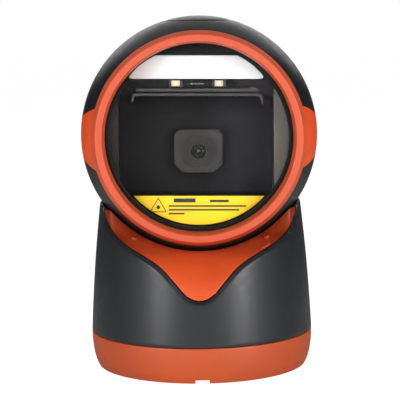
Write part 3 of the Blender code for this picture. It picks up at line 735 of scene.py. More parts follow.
def shell_column(index):
    """One closed section of the black shell, square to its upper edge and then down to the seam."""
    line = EDGE_LINE
    here = line[index]
    away = outward(line, index)
    angle = abs(math.degrees(here.x / EDGE_R))
    scale = 1.0 - 0.72 * smooth(65.5, 74.5, angle)
    rear = smooth(70.5, 76.5, angle)
    rim = rounded([(CHAMFER_WIDE * 2.2, 0), (CHAMFER_WIDE, 0, 0.5), (GROOVE, CHAMFER_DEEP, 0.2),
                   (GROOVE, CHAMFER_DEEP + 1.4)], closed=False)
    outer = [on_base(here.x + away.x * wide * scale, here.y + away.y * wide * scale, deep * scale)
             for wide, deep in reversed(rim)]
    front_in = outer[0]
    rear_in = at_turn(here.x, section_radius(RIM_CLEAR_R, RIM_INNER_Z), RIM_INNER_Z)
    outer[0] = front_in.lerp(rear_in, rear)
    start = here + away * CHAMFER_WIDE * 2.2 * scale
    end_x = (2.0 * index / (len(line) - 1) - 1.0) * math.pi * EDGE_R
    low = SEAM_Z + GAP / 2
    for step in range(1, 25):
        t = step / 24
        outer.append(on_base(start.x + (end_x - start.x) * smooth(0, 1, t),
                             start.y + (low + 0.3 - start.y) * t))
    foot = [on_base(end_x, low + 0.09, 0.09), on_base(end_x, low, 0.3),
            on_base(end_x, low, BASE_WALL)]
    inner = [on_base(end_x + (start.x - end_x) * smooth(0, 1, t), low + (start.y - low) * t,
                     BASE_WALL) for t in (0.25, 0.5, 0.75)]
    rear_under = at_turn(here.x, section_radius(CUP_R + CUP_WALL + 0.3, RIM_INNER_Z), RIM_INNER_Z)
    under = on_base(start.x, start.y - 0.5, BASE_WALL + 0.2).lerp(rear_under, rear)
    return outer + foot + inner + [under]


def make_base_shell():
    work = bmesh.new()
    loft_rings(work, [shell_column(index) for index in range(len(EDGE_LINE) - 1)], True)
    shell = finished("base_shell", work)
    low, high = box_mm("cable_socket")
    outline = box_outline(low.x - GAP, low.z - GAP, high.x + GAP, high.z + GAP, 0.8)
    window = slab("socket_window", outline, -50, -38, Matrix.Rotation(math.pi / 2, 4, "X"))
    combine(shell, window)
    wear(shell, "base", BLACK, "black_shell", "base_body")


def soft_least(first, second, blend):
    """The smaller of two values, eased over where they are nearly equal."""
    near = max(blend - abs(first - second), 0.0) / blend
    return min(first, second) - near ** 2 * blend / 4


def lip_point(turn):
    """Where the cup's inner wall ends: a plane in front, higher beside it, level round the back."""
    ahead = math.cos(turn)
    rear = smooth(71.5, 75.5, abs(math.degrees(turn)))
    radius = section_radius(CUP_R, LIP_SIDE_Z + (LINER_Z - LIP_SIDE_Z) * rear)
    if ahead > 0:
        radius = soft_least(radius, LIP_FORWARD / ahead, 4.0)
    return radius, BALL_Z - math.sqrt(CUP_R ** 2 - radius ** 2)


def bezier(start, pull, end, count):
    """Points strictly between start and end on a quadratic curve."""
    points = []
    for index in range(1, count + 1):
        t = index / (count + 1)
        points.append(tuple((1 - t) ** 2 * a + 2 * t * (1 - t) * b + t ** 2 * c
                            for a, b, c in zip(start, pull, end)))
    return points


def ball_point(ball_r, polar):
    return ball_r * math.sin(polar), BALL_Z - ball_r * math.cos(polar)


def cradle_column(distance, z):
    """One closed section of the orange cradle through a point of its outer edge."""
    turn = distance / EDGE_R
    lip = lip_point(turn)
    polar = math.asin(lip[0] / CUP_R)
    rear = smooth(71.5, 75.5, abs(math.degrees(turn)))
    high = smooth(61.0, 67.0, z)
    cup = [ball_point(CUP_R, polar * step / 16) for step in range(16)]
    front_edge = (max(body_radius(z) - LINER_INSET, section_radius(RIM_CLEAR_R, z)), z)
    rear_edge = (section_radius(CUP_R + CUP_WALL, LINER_Z), LINER_Z)
    edge = tuple(a + (b - a) * rear for a, b in zip(front_edge, rear_edge))
    pull = (edge[0] + 0.22 * (lip[0] - edge[0]), edge[1] + 0.72 * (lip[1] - edge[1]))
    scoop = bezier(lip, pull, edge, 14)
    deep = (2.4 - 2.6 * high) * (1 - rear) + 0.9 * rear
    side = (edge[0] - deep, edge[1] - 0.2 - 0.5 * high)
    hidden_polar = polar - math.radians(2.0 + 4.0 * rear)
    hidden = ball_point(CUP_R + CUP_WALL, hidden_polar)
    sag = ((side[0] + hidden[0]) / 2 - 0.8, (side[1] + hidden[1]) / 2 - 1.2)
    under = bezier(side, sag, hidden, 6)
    back = [ball_point(CUP_R + CUP_WALL, hidden_polar * step / 10) for step in range(10, -1, -1)]
    corners = cup + [(*lip, 0.5)] + scoop + [(*edge, 0.4), (*side, 0.2)] + under + back
    return [at_turn(distance, radius, height) for radius, height in rounded(corners, 6)]


def liner_height(distance):
    """Highest level of the orange: it stands higher beside the opening than round the back."""
    rear = smooth(73.0, 76.5, abs(math.degrees(distance / EDGE_R)))
    return LINER_FRONT_Z + (LINER_Z - LINER_FRONT_Z) * rear


def make_nub(name, side, cradle):
    """A small moulded stud that stands on the cradle, found by a line from the front."""
    start = Vector((side * NUB_X, -60, NUB_Z)) * MM
    _, spot, normal, _ = cradle.ray_cast(start, Vector((0, 1, 0)))
    place = Matrix.Translation(spot / MM) @ normal.to_track_quat("Z", "Y").to_matrix().to_4x4()
    profile = [(0, -0.8), (NUB_R, -0.8), (NUB_R, 0.7, 0.45), (0, 0.75)]
    nub = lathe(name, rounded(profile, 4, False), place, 32, closed=False)
    wear(nub, "base", ORANGE, "orange_trim")


def make_cradle():
    line = EDGE_LINE
    inside = [here - outward(line, index) * GAP for index, here in enumerate(line)]
    columns = []
    for point in inside:
        if not columns or point.x - columns[-1].x > 0.35:
            columns.append(point)
    work = bmesh.new()
    loft_rings(work, [cradle_column(point.x, min(point.y, liner_height(point.x)))
                      for point in columns[:-1]], True)
    cradle = finished("base_cradle", work)
    hole = peg("clamp_hole", STUD_HOLE_R, -60, -40, upright() @ Matrix.Rotation(STUD_LEAN, 4, "X"))
    combine(cradle, hole)
    wear(cradle, "base", ORANGE, "orange_trim", "cradle")
    for side, name in ((-1, "left"), (1, "right")):
        make_nub(f"cradle_nub_{name}", side, cradle)


def make_skirt():
    top = SKIRT_HIGH.z
    low = SKIRT_LOW.z
    heights = [top - 0.5 - (top - 2.0 - low) * step / 20 for step in range(21)]
    outer = [(body_radius(z), z) for z in heights]
    inner = [(body_radius(low) + 0.35, low, 0.6), (43.2, low, 0.3), (42.9, 5.5), (41.8, 5.5),
             (41.8, 7.5), (44.3, 7.5), (44.3, top)]
    corners = [(BASE_MAX_R - 0.1, top, 0.3)] + outer + inner
    skirt = lathe("base_skirt_ring", rounded(corners), Matrix.Identity(4), 192)
    notch = brick("skirt_notch", (-2.9, -52, -1), (2.9, -38, low + 1.6), 0.3)
    combine(skirt, notch)
    wear(skirt, "base", SKIRT_ORANGE, "orange_trim", "base_skirt")


# ---------------------------------------------------------------- head

def tab_outline(grow):
    """Side view of a tab as (y, z): wide at the ring, round about the tilt axis."""
    front = TAB_FRONT_Y
    radius = TAB_HALF_PIVOT + grow
    half = TAB_HALF_FRONT + grow
    tip = arc(radius, math.pi / 2 - TAB_LEAN, -math.pi / 2 + TAB_LEAN, 20)
    return [(front, half)] + tip + [(front, -half)]


def across(outline, name):
    """A side-view outline of (y, z) points swept right across the head."""
    return slab(name, outline, -60, 60, sideways())


def slot_outline():
    """Side view of the slot under the ball that clears the clamp's stud at every tilt."""
    margin = math.asin(SLOT_HALF_X / CUP_R)
    back = math.radians(35.0) + margin
    front = math.radians(5.0) - margin
    angles = [front + (back - front) * step / 12 for step in range(13)]
    outer = [(SLOT_OUTER_R * math.sin(angle), -SLOT_OUTER_R * math.cos(angle)) for angle in angles]
    inner = [(y * SLOT_INNER_R / SLOT_OUTER_R, z * SLOT_INNER_R / SLOT_OUTER_R)
             for y, z in reversed(outer)]
    return outer + inner


def stud_slot():
    """Cutter for the slot that clears the clamp's stud."""
    return slab("stud_slot", slot_outline(), -SLOT_HALF_X, SLOT_HALF_X, sideways())


def make_front_shell():
    back_f = -SEAM_Y + GAP / 2
    inner_r = BALL_R - BALL_WALL
    outer = ball_arc(BALL_R, FACE_F - GAP - 0.25, back_f + 0.25, 40)
    inner = ball_arc(inner_r, FRONT_INNER_F, FACE_F - GAP, 24)
    tongue = [(TONGUE_ROOT_R, back_f), *TONGUE]
    front_r = math.sqrt(BALL_R ** 2 - (FACE_F - GAP) ** 2)
    back_r = math.sqrt(BALL_R ** 2 - back_f ** 2)
    corners = [(front_r - 0.12, FACE_F - GAP, 0.15)] + outer + [(back_r - 0.12, back_f, 0.15)]
    corners += tongue + inner
    shell = lathe("head_shell_front", rounded(corners, 2), forward(), BALL_SIDES)
    tabs = across(tab_outline(GAP), "tab_clearance")
    hole = peg("button_hole", BUTTON_HOLE_R, 40, 60, upright(), 96)
    start, end = -math.pi / 2 - SADDLE_ROOM_HALF, -math.pi / 2 + SADDLE_ROOM_HALF
    far, near = SADDLE_ROOM_RADII
    outline = arc(far, start, end, 24) + arc(near, end, start, 24)
    saddle_room = slab("saddle_room", outline, *SADDLE_ROOM_F, forward())
    combine(shell, tabs, stud_slot(), hole, saddle_room)
    ball_normals(shell, (BALL_R, inner_r))
    wear(shell, "head", BALL_BLACK, "black_shell", "head_front_shell")


def make_rear_shell():
    seam_f = -SEAM_Y - GAP / 2
    flat_f = -REAR_FLAT_Y
    seam_r = math.sqrt(BALL_R ** 2 - seam_f ** 2)
    flat_r = math.sqrt(BALL_R ** 2 - flat_f ** 2)
    inner_r = BALL_R - BALL_WALL
    outer = ball_arc(BALL_R, seam_f - 0.25, flat_f + 0.6, 30)
    inner = [(0, flat_f + BALL_WALL)] + ball_arc(inner_r, flat_f + BALL_WALL, seam_f, 20)
    disc = [(flat_r - 0.1, flat_f, 0.5), (flat_r - 1.2, flat_f), (10.5, flat_f), (0, flat_f)]
    corners = inner + [(seam_r - 0.12, seam_f, 0.15)] + outer + disc
    shell = lathe("head_shell_rear", rounded(corners, 3), forward(), BALL_SIDES, closed=False)
    cutters = [stud_slot()]
    for index, angle in enumerate(SHELL_SCREW_ANGLES):
        turn = math.radians(angle)
        place = forward(SHELL_SCREW_R * math.cos(turn), SHELL_SCREW_R * math.sin(turn))
        cutters.append(peg(f"well_{index + 1}", WELL_R, -38, WELL_FLOOR_F, place, 40))
    for index, x in enumerate(BEEPER_SLOTS):
        half = 6.0 - 0.35 * abs(x)
        outline = box_outline(x - 0.6, -half, x + 0.6, half, 0.6)
        cutters.append(slab(f"sound_{index + 1}", outline, -50, -40, forward()))
    combine(shell, *cutters)
    ball_normals(shell, (BALL_R, inner_r))
    wear(shell, "head", BALL_BLACK, "black_shell", "head_rear_shell")


def make_well(index, angle):
    """Walls and floor of one screw well; the outer end is buried in the curved shell."""
    middle = Vector((math.cos(angle), math.sin(angle))) * SHELL_SCREW_R

    def ring(radius, height=None):
        points = []
        for x, z in arc(radius, 0, math.tau * 47 / 48, 47):
            spot = middle + Vector((x, z))
            buried = -math.sqrt((BALL_R - WALL_MIDDLE) ** 2 - spot.length_squared)
            points.append(Vector((spot.x, spot.y, buried if height is None else height)))
        return points

    inside = WELL_R + 0.05
    low = WELL_FLOOR_F + 1.8
    work = bmesh.new()
    loft_rings(work, [ring(inside + WELL_WALL, low), ring(inside + WELL_WALL), ring(inside),
                      ring(inside, WELL_FLOOR_F), ring(WELL_HOLE_R, WELL_FLOOR_F),
                      ring(WELL_HOLE_R, low)], True)
    well = finished(f"screw_well_{index}", work, forward())
    wear(well, "head", BALL_BLACK, "black_shell")


def make_wells():
    for index, angle in enumerate(SHELL_SCREW_ANGLES):
        make_well(index + 1, math.radians(angle))


def tab_rings(side):
    """Rings of one tab's skin, from its inner side over the rounded rim to the dimple's middle."""
    corners = tab_outline(0.0)
    outline = spaced([Vector(point) for point in corners + corners[:1]], 0.7)[:-1]
    middle = Vector((DIMPLE_Y, 0))
    dimple_rim = DIMPLE_R * 1.25

    def ring(shape, drop):
        return [Vector((side * math.sqrt((BALL_R - drop) ** 2 - y * y - z * z), y, z))
                for y, z in shape]

    def shrunk(share, inset=0.0):
        """The outline drawn towards a circle round the dimple."""
        shape = []
        for spot in outline:
            arm = spot - middle
            full = arm.length - inset
            shape.append(middle + arm.normalized() * (dimple_rim + (full - dimple_rim) * share))
        return shape

    rings = [ring(shrunk(1.0, inset), drop)
             for inset, drop in ((0.0, BALL_WALL), (0.0, 0.3), (0.03, 0.13), (0.1, 0.04),
                                 (0.3, 0.0))]
    rings += [ring(shrunk(share, 0.3), 0.0) for share in (0.85, 0.7, 0.55, 0.4, 0.25, 0.1, 0.0)]
    for share in (0.95, 0.85, 0.72, 0.55, 0.35, 0.15):
        circle = [middle + (spot - middle).normalized() * DIMPLE_R * 1.25 * share
                  for spot in outline]
        rings.append(ring(circle, DIMPLE_DEPTH * (1 - smooth(0.35, 0.95, share))))
    return rings


def make_tab(name, side):
    work = bmesh.new()
    rows = loft_rings(work, tab_rings(side), False)
    work.faces.new(rows[0])
    work.faces.new(rows[-1])
    return finished(name, work, upright())


def make_bezel():
    corners = [(RING_OUTER_R, FACE_F, 0.12), (RING_FACE_OUTER_R, RING_FACE_F, 0.7),
               (RING_FACE_INNER_R, RING_FACE_F, 0.5),
               (RING_FACE_INNER_R - 0.35, RING_FACE_F - 1.0, 0.3),
               (RING_BORE_R, RING_BACK_F), (41.3, RING_BACK_F), (41.5, FACE_F)]
    ring = lathe("bezel_ring", rounded(corners, 5), forward(), 192)
    combine(ring, make_tab("tab_left", -1), make_tab("tab_right", 1), operation="UNION")
    ball_normals(ring, (BALL_R,))
    wear(ring, "head", RING_ORANGE, "orange_trim", "front_bezel")


def make_button():
    """Crowned cap that completes the ball's top, with a rounded shoulder and a hidden flange."""
    low, high = head_box("top_button")
    drop = BALL_R - high.z
    crown = [(0, high.z)] + [(reach, math.sqrt(BALL_R ** 2 - reach ** 2) - drop)
                             for reach in CROWN_RADII]
    shoulder = math.sqrt(BALL_R ** 2 - BUTTON_R ** 2) - drop
    corners = [(0, low.z + 2.9), (12.0, low.z + 2.6), (12.0, low.z), (high.x, low.z),
               (high.x, low.z + 1.0, 0.3), (BUTTON_R, low.z + 1.0),
               (BUTTON_R, shoulder - 0.1, 0.7)] + crown[::-1]
    cap = lathe("button_cap", rounded(corners, closed=False), upright(), 128, closed=False)
    wear(cap, "button", BALL_BLACK, "black_shell", "top_button")


def make_window():
    low, high = head_box("scan_window")
    pane = peg("window_pane", high.x, -high.y, -low.y, forward(), 128, 0.2)
    pane.visible_shadow = False
    wear(pane, "head", CLEAR, "clear_window", "scan_window")
    low, high = head_box("window_gasket")
    corners = [(high.x, -high.y), (high.x, -low.y, 0.2), (high.x - 1.6, -low.y, 0.5),
               (high.x - 1.6, -high.y, 0.2)]
    gasket = lathe("gasket_ring", rounded(corners), forward(), 160)
    top_gap = brick("gasket_gap", (-45, -25, BALL_Z + GASKET_TOP), (45, -15, BALL_Z + 45), 0.0)
    combine(gasket, top_gap)
    wear(gasket, "head", GASKET_BLACK, "black_rubber", "window_gasket")


def box_outline(low_x, low_z, high_x, high_z, radius):
    return rounded([(low_x, low_z, radius), (high_x, low_z, radius), (high_x, high_z, radius),
                    (low_x, high_z, radius)])


def segment(radius, low, high, corner, count=10):
    """The part of a disc between two heights, with rounded corners."""
    start, end = math.asin(low / radius), math.asin(high / radius)
    right = arc(radius, start + 3.2 * corner / radius, end, count)
    first = (radius * math.cos(start), low, corner)
    top = (*right[-1], corner * 0.4)
    half = [first] + right[:-1] + [top]
    return rounded(half + [(-x, z, *rest) for x, z, *rest in reversed(half)], 6)


def disc_side(radius, start_x, side):
    """The part of a disc beyond a distance to one side."""
    half = math.acos(start_x / radius)
    return [(side * x, z) for x, z in arc(radius, -half, half, 40)]


def make_shelves():
    """Two crescents of the tray beside the chamber, each a moulded finish: the right one lightened
    by painted light, the left one darkened by painted shade.
    """
    for name, side, reach, material in (("left", -1, CHAMBER_HALF_X, SHELF_LEFT_PAINTED_SHADE),
                                        ("right", 1, CHAMBER_RIGHT_X, SHELF_RIGHT_PAINTED_LIGHT)):
        edge = reach + 0.3 + side * LEVEL_X
        shelf = slab(f"tray_shelf_{name}", disc_side(RING_BORE_R - 0.4, edge, side), TRAY_F - 0.1,
                     TRAY_F + 0.12, forward(), 0.08)
        wear(shelf, "head", material, "matte_black")


def make_tray():
    high = head_box("optical_tray")[1]
    tray = peg("optics_tray", high.x, TRAY_F - 2.0, TRAY_F, forward(), 128, 0.2)
    wall = CHAMBER_WALL
    outline = box_outline(-CHAMBER_HALF_X - wall, CHAMBER_LOW - wall, CHAMBER_HALF_X + wall,
                          CHAMBER_HIGH + wall, 1.5)
    outside = slab("chamber_outside", outline, CHAMBER_BACK_F - wall, TRAY_F - 1.0, level())
    combine(tray, outside, operation="UNION")
    outline = box_outline(-CHAMBER_HALF_X, CHAMBER_LOW, CHAMBER_RIGHT_X, CHAMBER_HIGH, 0.8)
    inside = slab("chamber_inside", outline, CHAMBER_BACK_F, TRAY_F + 3.0, level())
    outline = box_outline(-8, CAMERA_Z - 7, 8, CAMERA_Z + 7, 1.0)
    opening = slab("camera_opening", outline, 0.0, TRAY_F, forward())
    low, high = head_box("diffuser_panel")
    outline = segment(SEGMENT_R + GAP, low.z - GAP, high.z + GAP, 2.4)
    pocket = slab("diffuser_pocket", outline, TRAY_F - 1.4, TRAY_F + 3.0, level(SEGMENT_X))
    combine(tray, inside, opening, pocket)
    wear(tray, "head", DARK, "matte_black", "optical_tray")


def make_diffuser():
    low, high = head_box("diffuser_panel")
    outline = segment(SEGMENT_R, low.z, high.z, 2.2)
    panel = slab("diffuser", outline, -high.y, -low.y, level(SEGMENT_X), 0.25)
    wear(panel, "head", OPAL, "white_diffuser", "diffuser_panel")


def make_led(side, node):
    """One surface-mount light: ceramic body, dome, end pads and a printed outline."""
    low, high = head_box(node)
    x, _, z = middle_of(low, high)
    half_x, half_z = (high.x - low.x) / 2, (high.z - low.z) / 2
    front = -low.y
    body = slab(f"led_body_{side}", box_outline(-half_x, -half_z, half_x, half_z, 0.2), front - 0.6,
                front, level(x, z), 0.08)
    wear(body, "head", CERAMIC, "led_body", node)
    dome = slab(f"led_dome_{side}", box_outline(-0.9, -0.8, 0.9, 0.8, 0.35), front - 0.1,
                front + 0.12, level(x, z), 0.06)
    wear(dome, "head", PHOSPHOR, "led_body")
    board = -head_box("led_board")[0].y
    for end, sign in (("a", -1), ("b", 1)):
        outline = box_outline(-0.25, -0.75, 0.25, 0.75, 0.1)
        pad = slab(f"led_pad_{side}_{end}", outline, board - 0.02, board + 0.1,
                   level(x + sign * (half_x + 0.45), z), 0.03)
        wear(pad, "head", SOLDER, "steel")
        frame_outline(f"led_print_{side}_{end}", x + sign * (half_x + 0.95), z, sign, half_z + 0.35,
                      board)


def frame_outline(name, x, z, sign, half, board):
    """One printed bracket at the end of a light's outline."""
    reach, line = -sign * 0.9, 0.14
    points = [(0, -half), (0, half), (reach, half), (reach, half - line),
              (-sign * line, half - line), (-sign * line, -half + line), (reach, -half + line),
              (reach, -half)]
    mark = slab(name, points, board - 0.02, board + 0.05, level(x, z))
    wear(mark, "head", SILK, "led_body")


def make_light_board():
    low, high = head_box("led_board")
    outline = box_outline(low.x, low.z, high.x, high.z, 0.5)
    board = slab("light_board", outline, -high.y, -low.y, level(), 0.08)
    wear(board, "head", DARK_MASK, "matte_black", "led_board")
    make_led("left", "led_left")
    make_led("right", "led_right")
    for index, x in enumerate((-2.2, -0.6, 1.0, 2.2)):
        wide = 0.45 if index % 2 else 0.6
        outline = box_outline(-wide, -0.3, wide, 0.3, 0.08)
        chip = slab(f"board_chip_{index + 1}", outline, -low.y - 0.02, -low.y + 0.3,
                    level(x, BOARD_CHIP_Z), 0.05)
        wear(chip, "head", SILK, "led_body")


def make_hood():
    """Two thin ribs over the chamber; the lower one turns down at its ends."""
    low, high = head_box("led_hood")
    front, back = -low.y, -high.y
    lower = [(-27.3, 14.4, 0.3), (-26.6, 14.4, 0.3), (-26.0, 17.1, 1.8), (25.4, 17.1, 2.0),
             (26.7, 13.6, 0.3), (27.3, 13.6, 0.3), (27.3, 18.2, 2.4), (-27.3, 18.2, 2.6)]
    upper = [(-25.4, 18.9, 0.4), (24.8, 18.9, 0.3), (25.6, 19.3, 0.2), (22.6, 21.2, 0.6),
             (21.0, 20.1, 0.8), (-25.4, 20.1, 0.4)]
    rib = slab("hood_rib_lower", rounded(lower), back, front, level(), 0.3)
    wear(rib, "head", RIB_BLACK, "matte_black", "led_hood")
    rib = slab("hood_rib_upper", rounded(upper), back, front - 0.3, level(), 0.3)
    wear(rib, "head", RIB_BLACK, "matte_black")


def make_label():
    low, high = head_box("label_plate")
    radius = -low.z
    half = math.acos(-high.z / radius)
    points = arc(radius, -math.pi / 2 - half, -math.pi / 2 + half, 60)
    front = -low.y
    plate = slab("label_sheet", points, -high.y, front, turned_place(), 0.06)
    wear(plate, "head", VINYL, "yellow_label", "label_plate")
    print_bar = print_on(front)
    print_bar("label_heading", -9.8, -0.7, -27.2, -25.5)
    print_bar("label_caption", 5.2, 13.1, -27.1, -26.1)
    for index, (end, z) in enumerate(((20.3, -28.7), (17.4, -30.3), (-5.3, -31.9))):
        print_bar(f"label_line_{index + 1}", -11.9, end, z - 0.35, z + 0.35)
    sides = [(-19.5, -31.1), (-12.9, -31.1), (-16.2, -25.4)]
    for index in range(3):
        print_stroke(f"label_triangle_{index + 1}", sides[index - 1], sides[index], front)
    dot = peg("label_dot", 0.8, front - 0.02, front + 0.05, level(-16.2, -29.2), 24)
    wear(dot, "head", INK, "yellow_label")


def print_on(front):
    """A function that prints plain bars on the label's face."""
    def print_bar(name, start, end, low_z, high_z):
        outline = [(start, low_z), (end, low_z), (end, high_z), (start, high_z)]
        bar = slab(name, outline, front - 0.02, front + 0.05, level())
        wear(bar, "head", INK, "yellow_label")
    return print_bar


def print_stroke(name, start, end, front, wide=0.34):
    first, last = Vector(start), Vector(end)
    side = (last - first).normalized().orthogonal() * wide / 2
    outline = [first + side, last + side, last - side, first - side]
    stroke = slab(name, outline, front - 0.02, front + 0.05, level())
    wear(stroke, "head", INK, "yellow_label")


def octagon(half_x, half_z, small, large):
    """Box outline with small corners cut at the top and large ones at the bottom."""
    right = [(half_x - small, half_z, 0.5), (half_x, half_z - small, 0.5),
             (half_x, -half_z + large, 0.5), (half_x - large, -half_z, 0.5)]
    return rounded(right + [(-x, z, corner) for x, z, corner in reversed(right)])


def ring_cutter(name, radius, wide, front, depth, place):
    near, far = radius - wide / 2, radius + wide / 2
    low, high = front - depth, front + 1.0
    return lathe(name, [(near, low), (far, low), (far, high), (near, high)], place, 64)


def make_shroud():
    """Octagonal plate round the lens, turned with fine concentric grooves."""
    low, high = head_box("camera_shroud")
    front = -low.y
    half_x, half_z = high.x, (high.z - low.z) / 2
    shroud = slab("lens_shroud", octagon(half_x, half_z, 2.0, 3.7), -high.y, front,
                  turned_place() @ shift(CAMERA_X, CAMERA_Z, 0), 0.35)
    centre = forward(CAMERA_X, CAMERA_Z)
    cutters = [ring_cutter(f"groove_{index + 1}", radius, GROOVE_WIDE, front, GROOVE_DEEP, centre)
               for index, radius in enumerate(SHROUD_GROOVES)]
    cutters.append(peg("shroud_bore", 3.1, front - 8.0, front + 2.0, centre, 64))
    combine(shroud, *cutters)
    wear(shroud, "head", DARK_PLATE, "matte_black", "camera_shroud")


def make_lens():
    low, high = head_box("lens_barrel")
    front = -low.y
    corners = [(1.3, front - 0.8), (1.55, front - 0.55, 0.05), (1.65, front - 0.2, 0.1),
               (1.95, front - 0.2, 0.1), (2.05, front - 0.7, 0.05), (2.3, front - 1.2, 0.05),
               (2.4, front - 0.9, 0.1), (2.8, front - 0.9, 0.15), (2.8, -high.y), (2.0, -high.y),
               (2.0, front - 1.8), (1.3, front - 1.8)]
    barrel = lathe("lens_tube", rounded(corners), forward(CAMERA_X, CAMERA_Z), 64)
    wear(barrel, "head", SOCKET_BLACK, "matte_black", "lens_barrel")
    low, high = head_box("lens_element")
    top = -low.y
    angles = [step * math.pi / 16 for step in range(1, 9)]
    curve = [(1.7 * math.sin(angle), top - 0.7 * (1 - math.cos(angle))) for angle in angles]
    dome = [(0, top)] + curve + [(1.7, -high.y), (0, -high.y)]
    lens = lathe("lens_glass", dome, forward(CAMERA_X, CAMERA_Z), 48, closed=False)
    wear(lens, "head", LENS, "lens_glass", "lens_element")


# ---------------------------------------------------------------- fasteners, underside and back

def make_screw(node, body, place, ends):
    """Pan-head screw along the placement's Z: cross-recessed head and a threaded shank."""
    top, tip = ends
    low, high = box_mm(node)
    head_r = (high.x - low.x) / 2
    under = top - 1.4
    shank_r = head_r * 0.54
    profile = [(0, tip), (shank_r * 0.7, tip, 0.1), (shank_r * 0.8, tip + 0.5)]
    step = tip + 0.8
    while step < under - 0.6:
        profile += [(shank_r * 0.8, step), (shank_r, step + 0.25)]
        step += 0.5
    profile += [(shank_r, under), (head_r, under, 0.1), (head_r, top - 0.5, 0.35),
                (head_r * 0.6, top, 0.2), (0, top)]
    screw = lathe(f"{node}_pan", rounded(profile, 2, False), place, 32, closed=False)
    reach = head_r * 0.62
    for turn in (0, 90):
        arm = place @ Matrix.Rotation(math.radians(turn), 4, "Z")
        combine(screw, brick(f"{node}_recess_{turn}", (-reach, -0.3, top - 0.8),
                             (reach, 0.3, top + 0.5), 0.0, arm))
    wear(screw, body, STEEL, "steel", node)


def under_middle(low, high):
    """Placement on the ground under the middle of a box."""
    x, y, _ = middle_of(low, high)
    return shift(x, y, 0)


def make_screws():
    for node in [f"base_screw_{index}" for index in (1, 2, 3, 4)]:
        low, high = box_mm(node)
        place = under_middle(low, high) @ Matrix.Rotation(math.pi, 4, "X")
        make_screw(node, "base", place, (-low.z, -high.z))
    shell_screws = [f"shell_screw_{index}" for index in (1, 2, 3, 4)]
    for node in shell_screws + ["board_screw_1", "board_screw_2"]:
        low, high = head_box(node)
        x, _, z = middle_of(low, high)
        make_screw(node, "head", backward(x, z), (high.y, low.y))


def make_feet():
    """Rubber feet with a shallow dish in the sole."""
    for index in (1, 2, 3, 4):
        node = f"rubber_foot_{index}"
        low, high = box_mm(node)
        radius = (high.x - low.x) / 2
        profile = [(0, 0.35), (radius * 0.45, 0.35, 0.2), (radius * 0.6, 0, 0.2),
                   (radius - 0.5, 0, 0.35), (radius, high.z, 0.2), (0, high.z)]
        foot = lathe(f"{node}_pad", rounded(profile, 3, False), under_middle(low, high), 48,
                     closed=False)
        wear(foot, "base", RUBBER, "black_rubber", node)


def make_plate():
    """Floor of the base: a rim groove, sunk screw seats and a blank sunk panel."""
    low, high = box_mm("base_plate")
    radius = high.x
    profile = [(0, low.z), (radius - 4.0, low.z, 0.1), (radius - 3.8, low.z + 0.5, 0.1),
               (radius - 3.2, low.z + 0.5, 0.1), (radius - 3.0, low.z, 0.1), (radius, low.z, 0.4),
               (radius, high.z, 0.2), (0, high.z)]
    plate = lathe("floor_plate", rounded(profile, 3, False), Matrix.Identity(4), 160, closed=False)
    cutters = [slab("plate_panel", box_outline(-16, -9, 16, 9, 1.5), low.z - 1, low.z + 0.4)]
    for index in (1, 2, 3, 4):
        place = under_middle(*box_mm(f"base_screw_{index}"))
        cutters.append(peg(f"plate_hole_{index}", 1.75, 0, 8, place, 24))
    combine(plate, *cutters)
    wear(plate, "base", BLACK, "black_shell", "base_plate")


def make_socket():
    """Modular cable jack at the back: a stepped opening over a row of sprung contacts."""
    low, high = box_mm("cable_socket")
    back = high.y
    body = brick("socket_body", low, high, 0.35)
    throat = brick("socket_throat", (low.x + 1.3, back - 9, low.z + 1.3),
                   (high.x - 1.3, back + 1, high.z - 3.0), 0.0)
    latch = brick("socket_latch", (-3.0, back - 6, high.z - 4.0),
                  (3.0, back + 1, high.z - 1.9), 0.0)
    notch = brick("socket_notch", (-1.7, back - 6, high.z - 2.5),
                  (1.7, back + 1, high.z - 0.9), 0.0)
    combine(body, throat, latch, notch)
    wear(body, "base", SOCKET_BLACK, "matte_black", "cable_socket")
    for index in range(8):
        x = (index - 3.5) * (high.x - low.x - 4.4) / 8
        contact = brick(f"socket_contact_{index + 1}", (x - 0.22, back - 8.8, low.z + 1.25),
                        (x + 0.22, back - 1.6, low.z + 1.7), 0.08)
        wear(contact, "base", GOLD, None)


def dress_inside():
    """Pieces inside the shells, shown as the CAD has them."""
    keep(ZINC, "counterweight", "clamp_nut", "decoder_shield")
    keep(STEEL, "clamp_stud", "clamp_spring")
    keep(SOCKET_BLACK, "clamp_saddle", "beeper", "switch_body", "switch_stem")
    keep(MASK, "interface_board", "main_board", "sensor_board", "button_board")
    keep(SHEATH, "harness_lower", "harness_upper")
    keep(RIBBON, "flex_cable")


# ---------------------------------------------------------------- scene

CAMERA_TARGET = Vector((0, 0, 70.35))
CAMERA_AWAY = 705.4
CAMERA_UP = math.radians(7.04)
CAMERA_ROLL = math.radians(0.83)
CAMERA_LENS = 149.0
ROOM_LIGHT = ((-1.0, 0.46), (1.0, 0.045), (-0.4, 0.30), (0.0, 0.03), (0.80, 0.015), (0.95, 0.03))
FLOOR_LIGHT = (0.70, 0.05)
FLOOR_Z = -0.05
SOFTBOXES = (("left", -42, 6, 0.25, 0.8, 6.2), ("right", 42, 6, 0.25, 0.8, 7.6),
             ("behind", 180, 52, 1.2, 0.4, 0.6), ("rim", 180, 24, 1.0, 0.35, 1.3))
SOFTBOX_AWAY = 0.9


